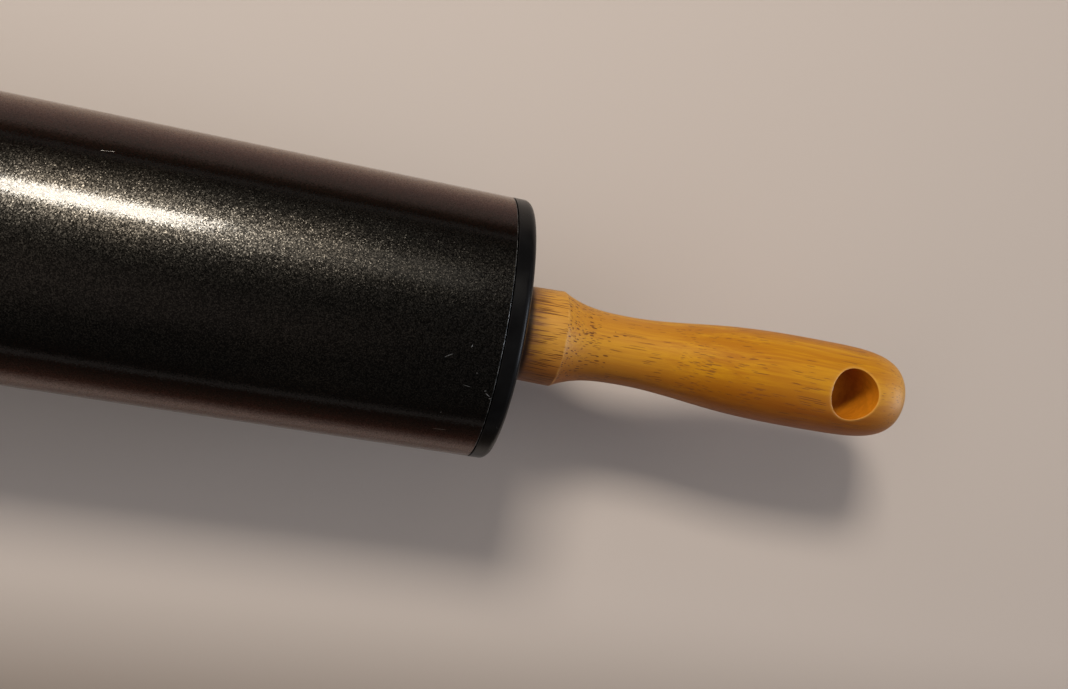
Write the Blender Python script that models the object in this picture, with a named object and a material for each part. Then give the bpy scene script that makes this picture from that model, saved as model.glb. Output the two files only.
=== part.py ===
"""Non-stick rolling pin: a coated steel tube between two moulded end caps, turning on
ball bearings about a steel axle that joins two turned wooden handles.

Everything is in metres. The pin lies along X on the plane Z = 0, and the origin is the
middle of the line that the barrel rests on. Each piece is modelled in its own frame,
about its own X axis, and is then placed along the pin's axis. The left end is the right
end turned half round about the vertical.
"""

import math

import bmesh
import bpy
from mathutils import Matrix, Vector

# Barrel
BARREL_LENGTH = 0.254
BARREL_RADIUS = 0.03175
BARREL_FACETS = 40
TUBE_WALL = 0.0015
TUBE_EDGE_BREAK = 0.0003
AXIS_HEIGHT = BARREL_RADIUS * math.cos(math.pi / BARREL_FACETS)

# Gaps between pieces
SEAT_GAP = 0.0003
HANDLE_END_GAP = 0.0008
RACE_GAP = 0.0002

# End cap
CAP_RIM_WIDTH = 0.0042
CAP_CORNER_RADIUS = 0.0020
CAP_RIM_FACE = 0.0028
CAP_DISH_DEPTH = 0.0025
CAP_DISH_SLOPE = 0.0008
CAP_FILLET = 0.0010
CAP_WEB = 0.0030
CAP_LIP_THICKNESS = 0.0015
CAP_LIP_OVERLAP = 0.0020
CAP_HUB_WALL = 0.0022
CAP_HUB_OVERHANG = 0.0010
CAP_SPIGOT_LENGTH = 0.0120
CAP_SPIGOT_WALL = 0.0022
CAP_SPIGOT_LEAD = 0.0006
CAP_RIB_COUNT = 8
CAP_RIB_THICKNESS = 0.0016
CAP_RIB_HEIGHT = 0.0065
CAP_RIB_ROOT = 0.0005

# Ball bearing
BEARING_RADIUS = 0.0110
BEARING_WIDTH = 0.0070
BEARING_CHAMFER = 0.0003
BEARING_FACETS = 24
BALL_RADIUS = 0.00195
BALL_COUNT = 7
OUTER_LAND_DEPTH = 0.00045
INNER_LAND_DEPTH = 0.0006
SHIELD_THICKNESS = 0.0003
SHIELD_INSET = 0.0003
SHIELD_STEP = 0.0007
CAGE_THICKNESS = 0.0015
CAGE_BACK = 0.0004
CAGE_MOUTH = 0.0013
CAGE_FACETS_PER_BALL = 4
POCKET_FACETS = 12

# Axle and what is on it
AXLE_RADIUS = 0.0040
AXLE_FACETS = 16
AXLE_CHAMFER = 0.0008
AXLE_OVERRUN = 0.0030
AXLE_GROOVE_DEPTH = 0.0007
CLIP_THICKNESS = 0.0010
CLIP_RADIUS = 0.0068
CLIP_RECESS = 0.0014
CLIP_MOUTH = math.radians(70)
CLIP_PRONG = math.radians(30)
CLIP_STEPS = 18
WASHER_RADIUS = 0.0060

# Threaded insert
INSERT_LENGTH = 0.0200
INSERT_RADIUS = 0.0062
INSERT_BARB_HEIGHT = 0.0004
INSERT_BARB_COUNT = 3
INSERT_FLANGE_RADIUS = 0.0082
INSERT_FLANGE_THICKNESS = 0.0015

# Handle
COLLAR_LENGTH = 0.0149
COLLAR_ROOT_RADIUS = 0.0114
COLLAR_CREST_RADIUS = 0.0119
COLLAR_EDGE_BREAK = 0.0005
NECK_LENGTH = 0.0177
NECK_SLOPE = -0.52
NECK_STEPS = 5
WAIST_RADIUS = 0.00865
SWELL_LENGTH = 0.0263
SWELL_RADIUS = 0.0110
SWELL_SLOPE = 0.09
SWELL_STEPS = 4
BELLY_LENGTH = 0.0235
BELLY_RADIUS = 0.0119
BELLY_STEPS = 3
NOSE_LENGTH = 0.0256
NOSE_BLUNTNESS = 4.0
NOSE_STEPS = 8
HANDLE_FACETS = 32
HANG_HOLE_RADIUS = 0.0065
HANG_HOLE_FROM_TIP = 0.0174
HANG_HOLE_FACETS = 24
DRILL_POINT_SLOPE = 0.6

# Where the pieces stand along the axis, from the barrel's middle
END_FACE = BARREL_LENGTH / 2
DISH_FLOOR = END_FACE - CAP_DISH_DEPTH
BEARING_OUTER_FACE = DISH_FLOOR - CAP_LIP_THICKNESS - SEAT_GAP
BEARING_MIDDLE = BEARING_OUTER_FACE - BEARING_WIDTH / 2
BEARING_INNER_FACE = BEARING_OUTER_FACE - BEARING_WIDTH
CLIP_MIDDLE = BEARING_INNER_FACE - SEAT_GAP - CLIP_THICKNESS / 2
HANDLE_FACE = DISH_FLOOR + HANDLE_END_GAP
WASHER_THICKNESS = HANDLE_FACE - BEARING_OUTER_FACE - 2 * SEAT_GAP
WASHER_MIDDLE = (HANDLE_FACE + BEARING_OUTER_FACE) / 2
AXLE_END = HANDLE_FACE + INSERT_LENGTH + AXLE_OVERRUN

# Radii that follow from their neighbours
TUBE_BORE = BARREL_RADIUS - TUBE_WALL
SPIGOT_RADIUS = TUBE_BORE - SEAT_GAP
SEAT_RADIUS = BEARING_RADIUS + SEAT_GAP
SHAFT_BORE = AXLE_RADIUS + SEAT_GAP
PITCH_RADIUS = (SHAFT_BORE + BEARING_RADIUS) / 2
RACE_GROOVE = BALL_RADIUS + RACE_GAP
OUTER_LAND = PITCH_RADIUS + BALL_RADIUS - OUTER_LAND_DEPTH
INNER_LAND = PITCH_RADIUS - BALL_RADIUS + INNER_LAND_DEPTH
GROOVE_FLOOR = AXLE_RADIUS - AXLE_GROOVE_DEPTH
INSERT_BORE = INSERT_RADIUS + INSERT_BARB_HEIGHT + SEAT_GAP
HANDLE_LENGTH = COLLAR_LENGTH + NECK_LENGTH + SWELL_LENGTH + BELLY_LENGTH + NOSE_LENGTH

SMOOTH_ANGLE = math.radians(32)
MERGE_DISTANCE = 0.000001


def new_material(name, colour, roughness, metallic):
    """A Principled material of one colour."""
    material = bpy.data.materials.new(name)
    material.use_nodes = True
    shader = material.node_tree.nodes["Principled BSDF"]
    shader.inputs["Base Color"].default_value = (*colour, 1.0)
    shader.inputs["Roughness"].default_value = roughness
    shader.inputs["Metallic"].default_value = metallic
    return material


def make_materials():
    """The finishes of the pin, by the names that the pieces use."""
    return {
        "nonstick_coating": new_material("nonstick_coating", (0.014, 0.013, 0.012), 0.38, 0.0),
        "cap_plastic": new_material("cap_plastic", (0.012, 0.012, 0.013), 0.32, 0.0),
        "handle_wood": new_material("handle_wood", (0.62, 0.33, 0.10), 0.42, 0.0),
        "axle_steel": new_material("axle_steel", (0.60, 0.60, 0.62), 0.30, 1.0),
        "bearing_steel": new_material("bearing_steel", (0.70, 0.71, 0.73), 0.16, 1.0),
        "cage_nylon": new_material("cage_nylon", (0.78, 0.74, 0.64), 0.50, 0.0),
        "insert_brass": new_material("insert_brass", (0.72, 0.52, 0.24), 0.30, 1.0),
    }


def new_empty(name):
    """An empty on the pin's axis, which carries the pieces that move together."""
    empty = bpy.data.objects.new(name, None)
    empty.location = (0.0, 0.0, AXIS_HEIGHT)
    bpy.context.scene.collection.objects.link(empty)
    return empty


def add_object(name, bm, material=None):
    """An object from a bmesh, its faces turned outwards and its round parts smooth."""
    bmesh.ops.remove_doubles(bm, verts=bm.verts, dist=MERGE_DISTANCE)
    bmesh.ops.recalc_face_normals(bm, faces=bm.faces)
    mesh = bpy.data.meshes.new(name)
    bm.to_mesh(mesh)
    bm.free()
    mesh.shade_smooth()
    mesh.set_sharp_from_angle(angle=SMOOTH_ANGLE)
    if material is not None:
        mesh.materials.append(material)
    obj = bpy.data.objects.new(name, mesh)
    bpy.context.scene.collection.objects.link(obj)
    return obj


def spin_profile(bm, profile, facets, closed):
    """Turns (along, radius) points about the X axis, with a flat facet underneath."""
    half_step = math.pi / facets
    sideways, down = math.sin(half_step), -math.cos(half_step)
    verts = [bm.verts.new((along, radius * sideways, radius * down)) for along, radius in profile]
    pairs = list(zip(verts, verts[1:]))
    if closed:
        pairs.append((verts[-1], verts[0]))
    edges = [bm.edges.new(pair) for pair in pairs]
    bmesh.ops.spin(
        bm,
        geom=verts + edges,
        cent=(0.0, 0.0, 0.0),
        axis=(1.0, 0.0, 0.0),
        angle=2 * math.pi,
        steps=facets,
        use_merge=True,
    )


def turned(name, profile, facets, material=None, closed=True):
    """A turned piece. A closed profile makes a ring, and an open one starts and ends on the axis."""
    bm = bmesh.new()
    spin_profile(bm, profile, facets, closed)
    return add_object(name, bm, material)


def place(obj, body, side, along):
    """Puts a piece on its body at a distance along the axis: side is 1 at the right end, -1 at the left."""
    obj.parent = body
    obj.location = (side * along, 0.0, 0.0)
    obj.rotation_euler = (0.0, 0.0, 0.0 if side > 0 else math.pi)
    return obj


def boolean(obj, tool, operation):
    """Joins a helper to a piece or cuts it away. The helper itself isn't part of the pin."""
    tool.parent = obj
    tool.hide_render = True
    tool.display_type = "WIRE"
    modifier = obj.modifiers.new(tool.name, "BOOLEAN")
    modifier.operation = operation
    modifier.solver = "EXACT"
    modifier.object = tool


def arc(centre, radius, start, end, steps):
    """Points along a round from one angle to another, the angles in degrees from +X."""
    points = []
    for step in range(steps + 1):
        angle = math.radians(start + (end - start) * step / steps)
        points.append((centre[0] + radius * math.cos(angle), centre[1] + radius * math.sin(angle)))
    return points


def hermite(start, end, start_slope, end_slope, steps):
    """Points after the start of a smooth curve through two points with given slopes."""
    length = end[0] - start[0]
    points = []
    for step in range(1, steps + 1):
        t = step / steps
        radius = (
            (2 * t**3 - 3 * t**2 + 1) * start[1]
            + (t**3 - 2 * t**2 + t) * length * start_slope
            + (3 * t**2 - 2 * t**3) * end[1]
            + (t**3 - t**2) * length * end_slope
        )
        points.append((start[0] + length * t, radius))
    return points


def barrel_tube(material):
    """The coated tube, with its two end edges broken."""
    half = END_FACE - CAP_RIM_WIDTH - SEAT_GAP
    profile = [
        (-half, TUBE_BORE),
        (half, TUBE_BORE),
        (half, BARREL_RADIUS - TUBE_EDGE_BREAK),
        (half - TUBE_EDGE_BREAK, BARREL_RADIUS),
        (TUBE_EDGE_BREAK - half, BARREL_RADIUS),
        (-half, BARREL_RADIUS - TUBE_EDGE_BREAK),
    ]
    return turned("barrel_tube", profile, BARREL_FACETS, material)


def cap_profile():
    """The end cap's section, from its outer face at 0 inwards along -X."""
    corner = (-CAP_CORNER_RADIUS, BARREL_RADIUS - CAP_CORNER_RADIUS)
    rim_edge = BARREL_RADIUS - CAP_CORNER_RADIUS - CAP_RIM_FACE
    floor_edge = rim_edge - CAP_DISH_SLOPE
    lip_bore = SEAT_RADIUS - CAP_LIP_OVERLAP
    seat_end = -CAP_DISH_DEPTH - CAP_LIP_THICKNESS
    hub_end = BEARING_INNER_FACE - CAP_HUB_OVERHANG - END_FACE
    hub_radius = SEAT_RADIUS + CAP_HUB_WALL
    web_back = -CAP_DISH_DEPTH - CAP_WEB
    spigot_bore = SPIGOT_RADIUS - CAP_SPIGOT_WALL
    spigot_end = -CAP_RIM_WIDTH - CAP_SPIGOT_LENGTH
    floor_fillet = (CAP_FILLET - CAP_DISH_DEPTH, floor_edge - CAP_FILLET)
    hub_fillet = (web_back - CAP_FILLET, hub_radius + CAP_FILLET)
    spigot_fillet = (web_back - CAP_FILLET, spigot_bore - CAP_FILLET)
    return [
        (-CAP_RIM_WIDTH, BARREL_RADIUS),
        *arc(corner, CAP_CORNER_RADIUS, 90, 0, 3),
        (0.0, rim_edge),
        *arc(floor_fillet, CAP_FILLET, 90, 180, 2),
        (-CAP_DISH_DEPTH, lip_bore),
        (seat_end, lip_bore),
        (seat_end, SEAT_RADIUS),
        (hub_end, SEAT_RADIUS),
        (hub_end, hub_radius),
        *arc(hub_fillet, CAP_FILLET, 270, 360, 1),
        *arc(spigot_fillet, CAP_FILLET, 0, 90, 1),
        (spigot_end, spigot_bore),
        (spigot_end, SPIGOT_RADIUS - CAP_SPIGOT_LEAD),
        (spigot_end + CAP_SPIGOT_LEAD, SPIGOT_RADIUS),
        (-CAP_RIM_WIDTH, SPIGOT_RADIUS),
    ]


def cap_ribs(name):
    """The radial ribs behind the cap's web, which run from its hub to its spigot."""
    web_back = -CAP_DISH_DEPTH - CAP_WEB
    inner = SEAT_RADIUS + CAP_HUB_WALL - CAP_RIB_ROOT
    outer = SPIGOT_RADIUS - CAP_SPIGOT_WALL + CAP_RIB_ROOT
    bm = bmesh.new()
    for rib in range(CAP_RIB_COUNT):
        angle = 2 * math.pi * (rib + 0.5) / CAP_RIB_COUNT
        outward = Vector((0.0, math.cos(angle), math.sin(angle)))
        across = Vector((0.0, -math.sin(angle), math.cos(angle))) * CAP_RIB_THICKNESS / 2
        foot = [
            bm.verts.new(outward * radius + across * turn + Vector((web_back + CAP_RIB_ROOT, 0.0, 0.0)))
            for radius, turn in ((inner, -1), (outer, -1), (outer, 1), (inner, 1))
        ]
        face = bm.faces.new(foot)
        raised = bmesh.ops.extrude_face_region(bm, geom=[face])
        tops = [item for item in raised["geom"] if isinstance(item, bmesh.types.BMVert)]
        bmesh.ops.translate(bm, verts=tops, vec=(-CAP_RIB_HEIGHT - CAP_RIB_ROOT, 0.0, 0.0))
    return add_object(name, bm)


def end_cap(label, material):
    """The moulded cap: rim, dished face, bearing hub, ribs and the spigot inside the tube."""
    cap = turned(f"end_cap_{label}", cap_profile(), BARREL_FACETS, material)
    boolean(cap, cap_ribs(f"cap_ribs_{label}"), "UNION")
    return cap


def outer_ring(label, material):
    """The bearing's outer ring, with its ball groove and a step at each side for a shield."""
    half = BEARING_WIDTH / 2
    step = half - SHIELD_STEP - SEAT_GAP
    step_radius = OUTER_LAND + SHIELD_STEP
    reach = math.degrees(math.asin((OUTER_LAND - PITCH_RADIUS) / RACE_GROOVE))
    profile = [
        (-half, step_radius),
        (-step, step_radius),
        (-step, OUTER_LAND),
        *arc((0.0, PITCH_RADIUS), RACE_GROOVE, 180 - reach, reach, 4),
        (step, OUTER_LAND),
        (step, step_radius),
        (half, step_radius),
        (half, BEARING_RADIUS - BEARING_CHAMFER),
        (half - BEARING_CHAMFER, BEARING_RADIUS),
        (BEARING_CHAMFER - half, BEARING_RADIUS),
        (-half, BEARING_RADIUS - BEARING_CHAMFER),
    ]
    return turned(f"bearing_outer_ring_{label}", profile, BEARING_FACETS, material)


def inner_ring(label, material):
    """The bearing's inner ring, on the axle, with its ball groove."""
    half = BEARING_WIDTH / 2
    reach = math.degrees(math.asin((PITCH_RADIUS - INNER_LAND) / RACE_GROOVE))
    profile = [
        (half, SHAFT_BORE),
        (half, INNER_LAND),
        *arc((0.0, PITCH_RADIUS), RACE_GROOVE, 360 - reach, 180 + reach, 4),
        (-half, INNER_LAND),
        (-half, SHAFT_BORE),
    ]
    return turned(f"bearing_inner_ring_{label}", profile, BEARING_FACETS, material)


def shield(name, material):
    """A thin steel washer that closes one side of the bearing, without touching the inner ring."""
    outer = OUTER_LAND + SHIELD_STEP - SEAT_GAP
    inner = INNER_LAND + SEAT_GAP
    profile = [
        (0.0, inner),
        (SHIELD_THICKNESS, inner),
        (SHIELD_THICKNESS, outer),
        (0.0, outer),
    ]
    return turned(name, profile, BEARING_FACETS, material)


def ball_angle(ball):
    """The place of a ball round the bearing."""
    return 2 * math.pi * ball / BALL_COUNT


def bearing_cage(label, material):
    """The moulded crown cage: a ring at the back, with an open round pocket for each ball."""
    pocket = BALL_RADIUS + RACE_GAP
    back = pocket + CAGE_BACK
    inner = PITCH_RADIUS - CAGE_THICKNESS / 2
    outer = PITCH_RADIUS + CAGE_THICKNESS / 2
    profile = [(-CAGE_MOUTH, inner), (back, inner), (back, outer), (-CAGE_MOUTH, outer)]
    cage = turned(f"bearing_cage_{label}", profile, BALL_COUNT * CAGE_FACETS_PER_BALL, material)
    bm = bmesh.new()
    for ball in range(BALL_COUNT):
        outward = Vector((0.0, math.sin(ball_angle(ball)), -math.cos(ball_angle(ball))))
        facing = outward.to_track_quat("Z", "X").to_matrix().to_4x4()
        bmesh.ops.create_cone(
            bm,
            cap_ends=True,
            segments=POCKET_FACETS,
            radius1=pocket,
            radius2=pocket,
            depth=2 * CAGE_THICKNESS,
            matrix=Matrix.Translation(outward * PITCH_RADIUS) @ facing,
        )
    boolean(cage, add_object(f"cage_pockets_{label}", bm), "DIFFERENCE")
    return cage


def bearing_balls(label, material):
    """The steel balls, one object each, sharing one mesh about the ball's own centre."""
    bm = bmesh.new()
    bmesh.ops.create_icosphere(bm, subdivisions=2, radius=BALL_RADIUS)
    first = add_object(f"bearing_ball_{label}_1", bm, material)
    balls = [first]
    for ball in range(1, BALL_COUNT):
        copy = bpy.data.objects.new(f"bearing_ball_{label}_{ball + 1}", first.data)
        bpy.context.scene.collection.objects.link(copy)
        balls.append(copy)
    return balls


def axle_rod(material):
    """The steel axle, grooved for the two clips and chamfered at its ends."""
    groove_out = CLIP_MIDDLE + CLIP_THICKNESS / 2 + SEAT_GAP
    groove_in = CLIP_MIDDLE - CLIP_THICKNESS / 2 - SEAT_GAP
    right = [
        (groove_in, AXLE_RADIUS),
        (groove_in, GROOVE_FLOOR),
        (groove_out, GROOVE_FLOOR),
        (groove_out, AXLE_RADIUS),
        (AXLE_END - AXLE_CHAMFER, AXLE_RADIUS),
        (AXLE_END, AXLE_RADIUS - AXLE_CHAMFER),
        (AXLE_END, 0.0),
    ]
    left = [(-along, radius) for along, radius in reversed(right)]
    return turned("axle_rod", left + right, AXLE_FACETS, material, closed=False)


def sweep(start, end, radius, steps):
    """Points (angle, radius) along a circle about the axis, both ends included."""
    return [(start + (end - start) * step / steps, radius) for step in range(steps + 1)]


def retaining_clip(label, material):
    """The spring clip in the axle's groove: an open ring with three prongs that reach inwards."""
    prong_tip = GROOVE_FLOOR + SEAT_GAP
    recess = prong_tip + CLIP_RECESS
    start, end = CLIP_MOUTH / 2, 2 * math.pi - CLIP_MOUTH / 2
    outline = [
        *sweep(start, end, CLIP_RADIUS, CLIP_STEPS),
        *sweep(end, end - CLIP_PRONG, prong_tip, 2),
        *sweep(end - CLIP_PRONG, math.pi + CLIP_PRONG / 2, recess, 4),
        *sweep(math.pi + CLIP_PRONG / 2, math.pi - CLIP_PRONG / 2, prong_tip, 2),
        *sweep(math.pi - CLIP_PRONG / 2, start + CLIP_PRONG, recess, 4),
        *sweep(start + CLIP_PRONG, start, prong_tip, 2),
    ]
    bm = bmesh.new()
    face = bm.faces.new([
        bm.verts.new((-CLIP_THICKNESS / 2, radius * math.sin(angle), -radius * math.cos(angle)))
        for angle, radius in outline
    ])
    raised = bmesh.ops.extrude_face_region(bm, geom=[face])
    tops = [item for item in raised["geom"] if isinstance(item, bmesh.types.BMVert)]
    bmesh.ops.translate(bm, verts=tops, vec=(CLIP_THICKNESS, 0.0, 0.0))
    return add_object(f"retaining_clip_{label}", bm, material)


def spacer_washer(label, material):
    """The washer between the bearing's inner ring and the handle's insert."""
    half = WASHER_THICKNESS / 2
    profile = [(-half, SHAFT_BORE), (half, SHAFT_BORE), (half, WASHER_RADIUS), (-half, WASHER_RADIUS)]
    return turned(f"spacer_washer_{label}", profile, AXLE_FACETS, material)


def threaded_insert(label, material):
    """The brass insert that the axle screws into, with a flange and barbs that hold in the wood."""
    first = INSERT_FLANGE_THICKNESS
    pitch = (INSERT_LENGTH - first) / INSERT_BARB_COUNT
    barbs = []
    for barb in range(INSERT_BARB_COUNT):
        foot = first + pitch * barb
        barbs += [(foot, INSERT_RADIUS), (foot + pitch / 4, INSERT_RADIUS + INSERT_BARB_HEIGHT)]
    profile = [
        (0.0, SHAFT_BORE),
        (0.0, INSERT_FLANGE_RADIUS),
        (first, INSERT_FLANGE_RADIUS),
        *barbs,
        (INSERT_LENGTH, INSERT_RADIUS),
        (INSERT_LENGTH, SHAFT_BORE),
    ]
    return turned(f"threaded_insert_{label}", profile, AXLE_FACETS, material)


def handle_profile():
    """The turned outline: collar, neck, waist, swelling grip and blunt nose."""
    crest = (COLLAR_LENGTH, COLLAR_CREST_RADIUS - COLLAR_EDGE_BREAK / 2)
    waist = (COLLAR_LENGTH + NECK_LENGTH, WAIST_RADIUS)
    swell = (waist[0] + SWELL_LENGTH, SWELL_RADIUS)
    belly = (swell[0] + BELLY_LENGTH, BELLY_RADIUS)
    points = [
        (0.0, 0.0),
        (0.0, COLLAR_ROOT_RADIUS - COLLAR_EDGE_BREAK),
        (COLLAR_EDGE_BREAK, COLLAR_ROOT_RADIUS),
        (COLLAR_LENGTH - COLLAR_EDGE_BREAK, COLLAR_CREST_RADIUS),
        crest,
    ]
    points += hermite(crest, waist, NECK_SLOPE, 0.0, NECK_STEPS)
    points += hermite(waist, swell, 0.0, SWELL_SLOPE, SWELL_STEPS)
    points += hermite(swell, belly, SWELL_SLOPE, 0.0, BELLY_STEPS)
    for step in range(1, NOSE_STEPS):
        angle = math.pi / 2 * step / NOSE_STEPS
        along = belly[0] + NOSE_LENGTH * math.sin(angle) ** (2 / NOSE_BLUNTNESS)
        points.append((along, BELLY_RADIUS * math.cos(angle) ** (2 / NOSE_BLUNTNESS)))
    points.append((HANDLE_LENGTH, 0.0))
    return points


def handle_bore(name):
    """The stepped hole in the collar's end, for the insert's flange and sleeve and the axle's end."""
    flange_depth = INSERT_FLANGE_THICKNESS + SEAT_GAP
    sleeve_depth = INSERT_LENGTH + SEAT_GAP
    axle_depth = INSERT_LENGTH + AXLE_OVERRUN + SEAT_GAP
    profile = [
        (-SEAT_GAP, 0.0),
        (-SEAT_GAP, INSERT_FLANGE_RADIUS + SEAT_GAP),
        (flange_depth, INSERT_FLANGE_RADIUS + SEAT_GAP),
        (flange_depth, INSERT_BORE),
        (sleeve_depth, INSERT_BORE),
        (sleeve_depth, SHAFT_BORE),
        (axle_depth, SHAFT_BORE),
        (axle_depth + SHAFT_BORE * DRILL_POINT_SLOPE, 0.0),
    ]
    return turned(name, profile, AXLE_FACETS, closed=False)


def hanging_hole(name):
    """The drill for the hole across the grip, which a hook goes through. It is vertical at rest."""
    bm = bmesh.new()
    bmesh.ops.create_cone(
        bm,
        cap_ends=True,
        segments=HANG_HOLE_FACETS,
        radius1=HANG_HOLE_RADIUS,
        radius2=HANG_HOLE_RADIUS,
        depth=4 * BELLY_RADIUS,
    )
    drill = add_object(name, bm)
    drill.location = (HANDLE_LENGTH - HANG_HOLE_FROM_TIP, 0.0, 0.0)
    return drill


def wooden_handle(label, material):
    """A turned handle, bored for its insert and drilled through near the tip."""
    handle = turned(f"handle_{label}", handle_profile(), HANDLE_FACETS, material, closed=False)
    boolean(handle, handle_bore(f"insert_bore_{label}"), "DIFFERENCE")
    boolean(handle, hanging_hole(f"hanging_hole_{label}"), "DIFFERENCE")
    return handle


def build_bearing(label, side, materials, handles, barrel, cage_body):
    """One ball bearing, its pieces shared out to the bodies that they turn with."""
    steel = materials["bearing_steel"]
    place(outer_ring(label, steel), barrel, side, BEARING_MIDDLE)
    place(inner_ring(label, steel), handles, side, BEARING_MIDDLE)
    shield_face = BEARING_WIDTH / 2 - SHIELD_INSET
    for facing, along in (
        ("outer", BEARING_MIDDLE + shield_face - SHIELD_THICKNESS),
        ("inner", BEARING_MIDDLE - shield_face),
    ):
        place(shield(f"bearing_shield_{label}_{facing}", steel), barrel, side, along)
    cage_body.location.x = side * BEARING_MIDDLE
    place(bearing_cage(label, materials["cage_nylon"]), cage_body, side, 0.0)
    for ball, obj in enumerate(bearing_balls(label, steel)):
        angle = ball_angle(ball)
        obj.parent = cage_body
        obj.location = Vector((0.0, side * math.sin(angle), -math.cos(angle))) * PITCH_RADIUS


def build_end(label, side, materials, handles, barrel, cage_body):
    """Everything at one end of the pin."""
    steel = materials["axle_steel"]
    place(end_cap(label, materials["cap_plastic"]), barrel, side, END_FACE)
    build_bearing(label, side, materials, handles, barrel, cage_body)
    place(retaining_clip(label, steel), handles, side, CLIP_MIDDLE)
    place(spacer_washer(label, steel), handles, side, WASHER_MIDDLE)
    place(threaded_insert(label, materials["insert_brass"]), handles, side, HANDLE_FACE)
    place(wooden_handle(label, materials["handle_wood"]), handles, side, HANDLE_FACE)


def main():
    """Clears the scene and builds the whole pin at rest."""
    for obj in list(bpy.data.objects):
        bpy.data.objects.remove(obj, do_unlink=True)
    materials = make_materials()
    handles = new_empty("handles_on_axis")
    barrel = new_empty("barrel_on_axis")
    place(axle_rod(materials["axle_steel"]), handles, 1, 0.0)
    place(barrel_tube(materials["nonstick_coating"]), barrel, 1, 0.0)
    for label, side in (("left", -1), ("right", 1)):
        cage_body = new_empty(f"cage_{label}_on_axis")
        build_end(label, side, materials, handles, barrel, cage_body)


main()
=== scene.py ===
"""The looks of the non-stick rolling pin: finely turned pieces, their finishes and a plain studio.

Everything is in metres. The pin lies along X and rests on the floor at Z = 0. Each piece is
modelled in its own frame, about its own X axis, and stands where the frame's node stands. The
left end is the right end turned half round about the vertical.
"""

import math

import bmesh
import bpy
from bpy.props import FloatProperty, FloatVectorProperty, IntProperty, PointerProperty
from mathutils import Euler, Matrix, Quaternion, Vector


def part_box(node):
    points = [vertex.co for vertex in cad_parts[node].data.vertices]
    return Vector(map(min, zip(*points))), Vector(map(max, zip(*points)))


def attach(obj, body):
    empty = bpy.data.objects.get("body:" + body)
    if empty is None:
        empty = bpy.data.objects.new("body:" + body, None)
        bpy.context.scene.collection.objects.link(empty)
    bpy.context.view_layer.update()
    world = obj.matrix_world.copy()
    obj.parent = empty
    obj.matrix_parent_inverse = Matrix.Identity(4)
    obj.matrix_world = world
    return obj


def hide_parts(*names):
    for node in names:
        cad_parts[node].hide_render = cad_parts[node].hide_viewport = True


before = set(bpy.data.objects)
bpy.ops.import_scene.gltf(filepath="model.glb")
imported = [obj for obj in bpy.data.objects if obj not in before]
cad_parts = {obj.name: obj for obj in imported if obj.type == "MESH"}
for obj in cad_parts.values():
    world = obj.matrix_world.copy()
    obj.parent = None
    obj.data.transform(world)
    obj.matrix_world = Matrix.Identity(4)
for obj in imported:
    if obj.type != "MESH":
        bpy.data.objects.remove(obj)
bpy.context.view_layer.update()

bl_info = {
    "name": "Non-stick Rolling Pin",
    "version": (1, 0, 0),
    "blender": (4, 5, 0),
    "location": "3D View > Sidebar > Rolling Pin",
    "description": "Builds a rolling pin with a coated barrel, ball bearings and turned wooden handles",
    "category": "Add Mesh",
}

TUBE_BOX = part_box("barrel_tube")
AXIS_HEIGHT = (TUBE_BOX[0].z + TUBE_BOX[1].z) / 2
ENDS = (("left", -1), ("right", 1))
SMOOTH_ANGLE = math.radians(35)
MERGE_DISTANCE = 0.0000005
CAP_LAND = 0.0001
CAP_DISH_EDGE = 0.0002
CAP_LIP_EDGE = 0.0003
WASHER_EDGE = 0.0002
FLANGE_EDGE = 0.0003
GROOVE_STEP = 0.00001
DRILL_POINT = 0.6
GRAIN_SWAY = 0.0030
# Where the painted shade on the floor starts and ends, in front of and behind the pin's axis.
FLOOR_SHADE_IN_FRONT = (-0.072, -0.150)
FLOOR_SHADE_BEHIND = (0.15, 0.36)


def size(default, description):
    """A length that a user may change."""
    return FloatProperty(description=description, default=default, min=0.0, unit="LENGTH", precision=5)


def factor(default, description):
    """A share from 0 to 1."""
    return FloatProperty(description=description, default=default, min=0.0, max=1.0, subtype="FACTOR")


def amount(default, description, unit="NONE"):
    """A number that isn't a length, in the unit given."""
    return FloatProperty(description=description, default=default, unit=unit)


def degrees(default, description):
    """An angle, written in degrees."""
    return FloatProperty(description=description, default=math.radians(default), subtype="ANGLE")


def count(default, description):
    """How many of a thing there are."""
    return IntProperty(description=description, default=default, min=1)


def colour(default, description):
    """A colour, as linear red, green and blue."""
    limits = {"size": 3, "min": 0.0, "max": 1.0}
    return FloatVectorProperty(description=description, default=default, subtype="COLOR", **limits)


def titled(group):
    """Gives each setting of a group the title that its identifier spells."""
    for identifier, setting in group.__annotations__.items():
        setting.keywords.setdefault("name", identifier.replace("_", " ").capitalize())
    return group


@titled
class BarrelSettings(bpy.types.PropertyGroup):
    """The coated steel tube."""

    radius: size(0.03175, "Outside of the coated tube")
    wall: size(0.0015, "Thickness of the tube")
    edge_break: size(0.00014, "Rounding at the tube's two ends")
    facets: count(256, "Flats round the tube")
    coating: colour((0.0258, 0.0242, 0.0217), "Metal flake in the black non-stick coating")
    coating_haze: colour((0.0310, 0.0277, 0.0235), "Browner flake of its thinner patches")
    edge_sheen: colour((0.75, 0.48, 0.27), "Brownish sheen of the flake seen at a low angle")
    coating_roughness: factor(0.32, "Roughness of one flake")
    topcoat_roughness: factor(0.108, "Roughness of the smooth film over it")
    topcoat: factor(1.0, "How much of the smooth film there is")
    grain_size: size(0.00021, "Width of one grain of the coating")
    grain_lean: amount(0.20, "How far the grains lean, each its own way")
    wave_depth: size(0.00010, "Height of the slow waves that the coating dried in")
    steel: colour((0.52, 0.51, 0.50), "Steel where the coating stops")


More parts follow.
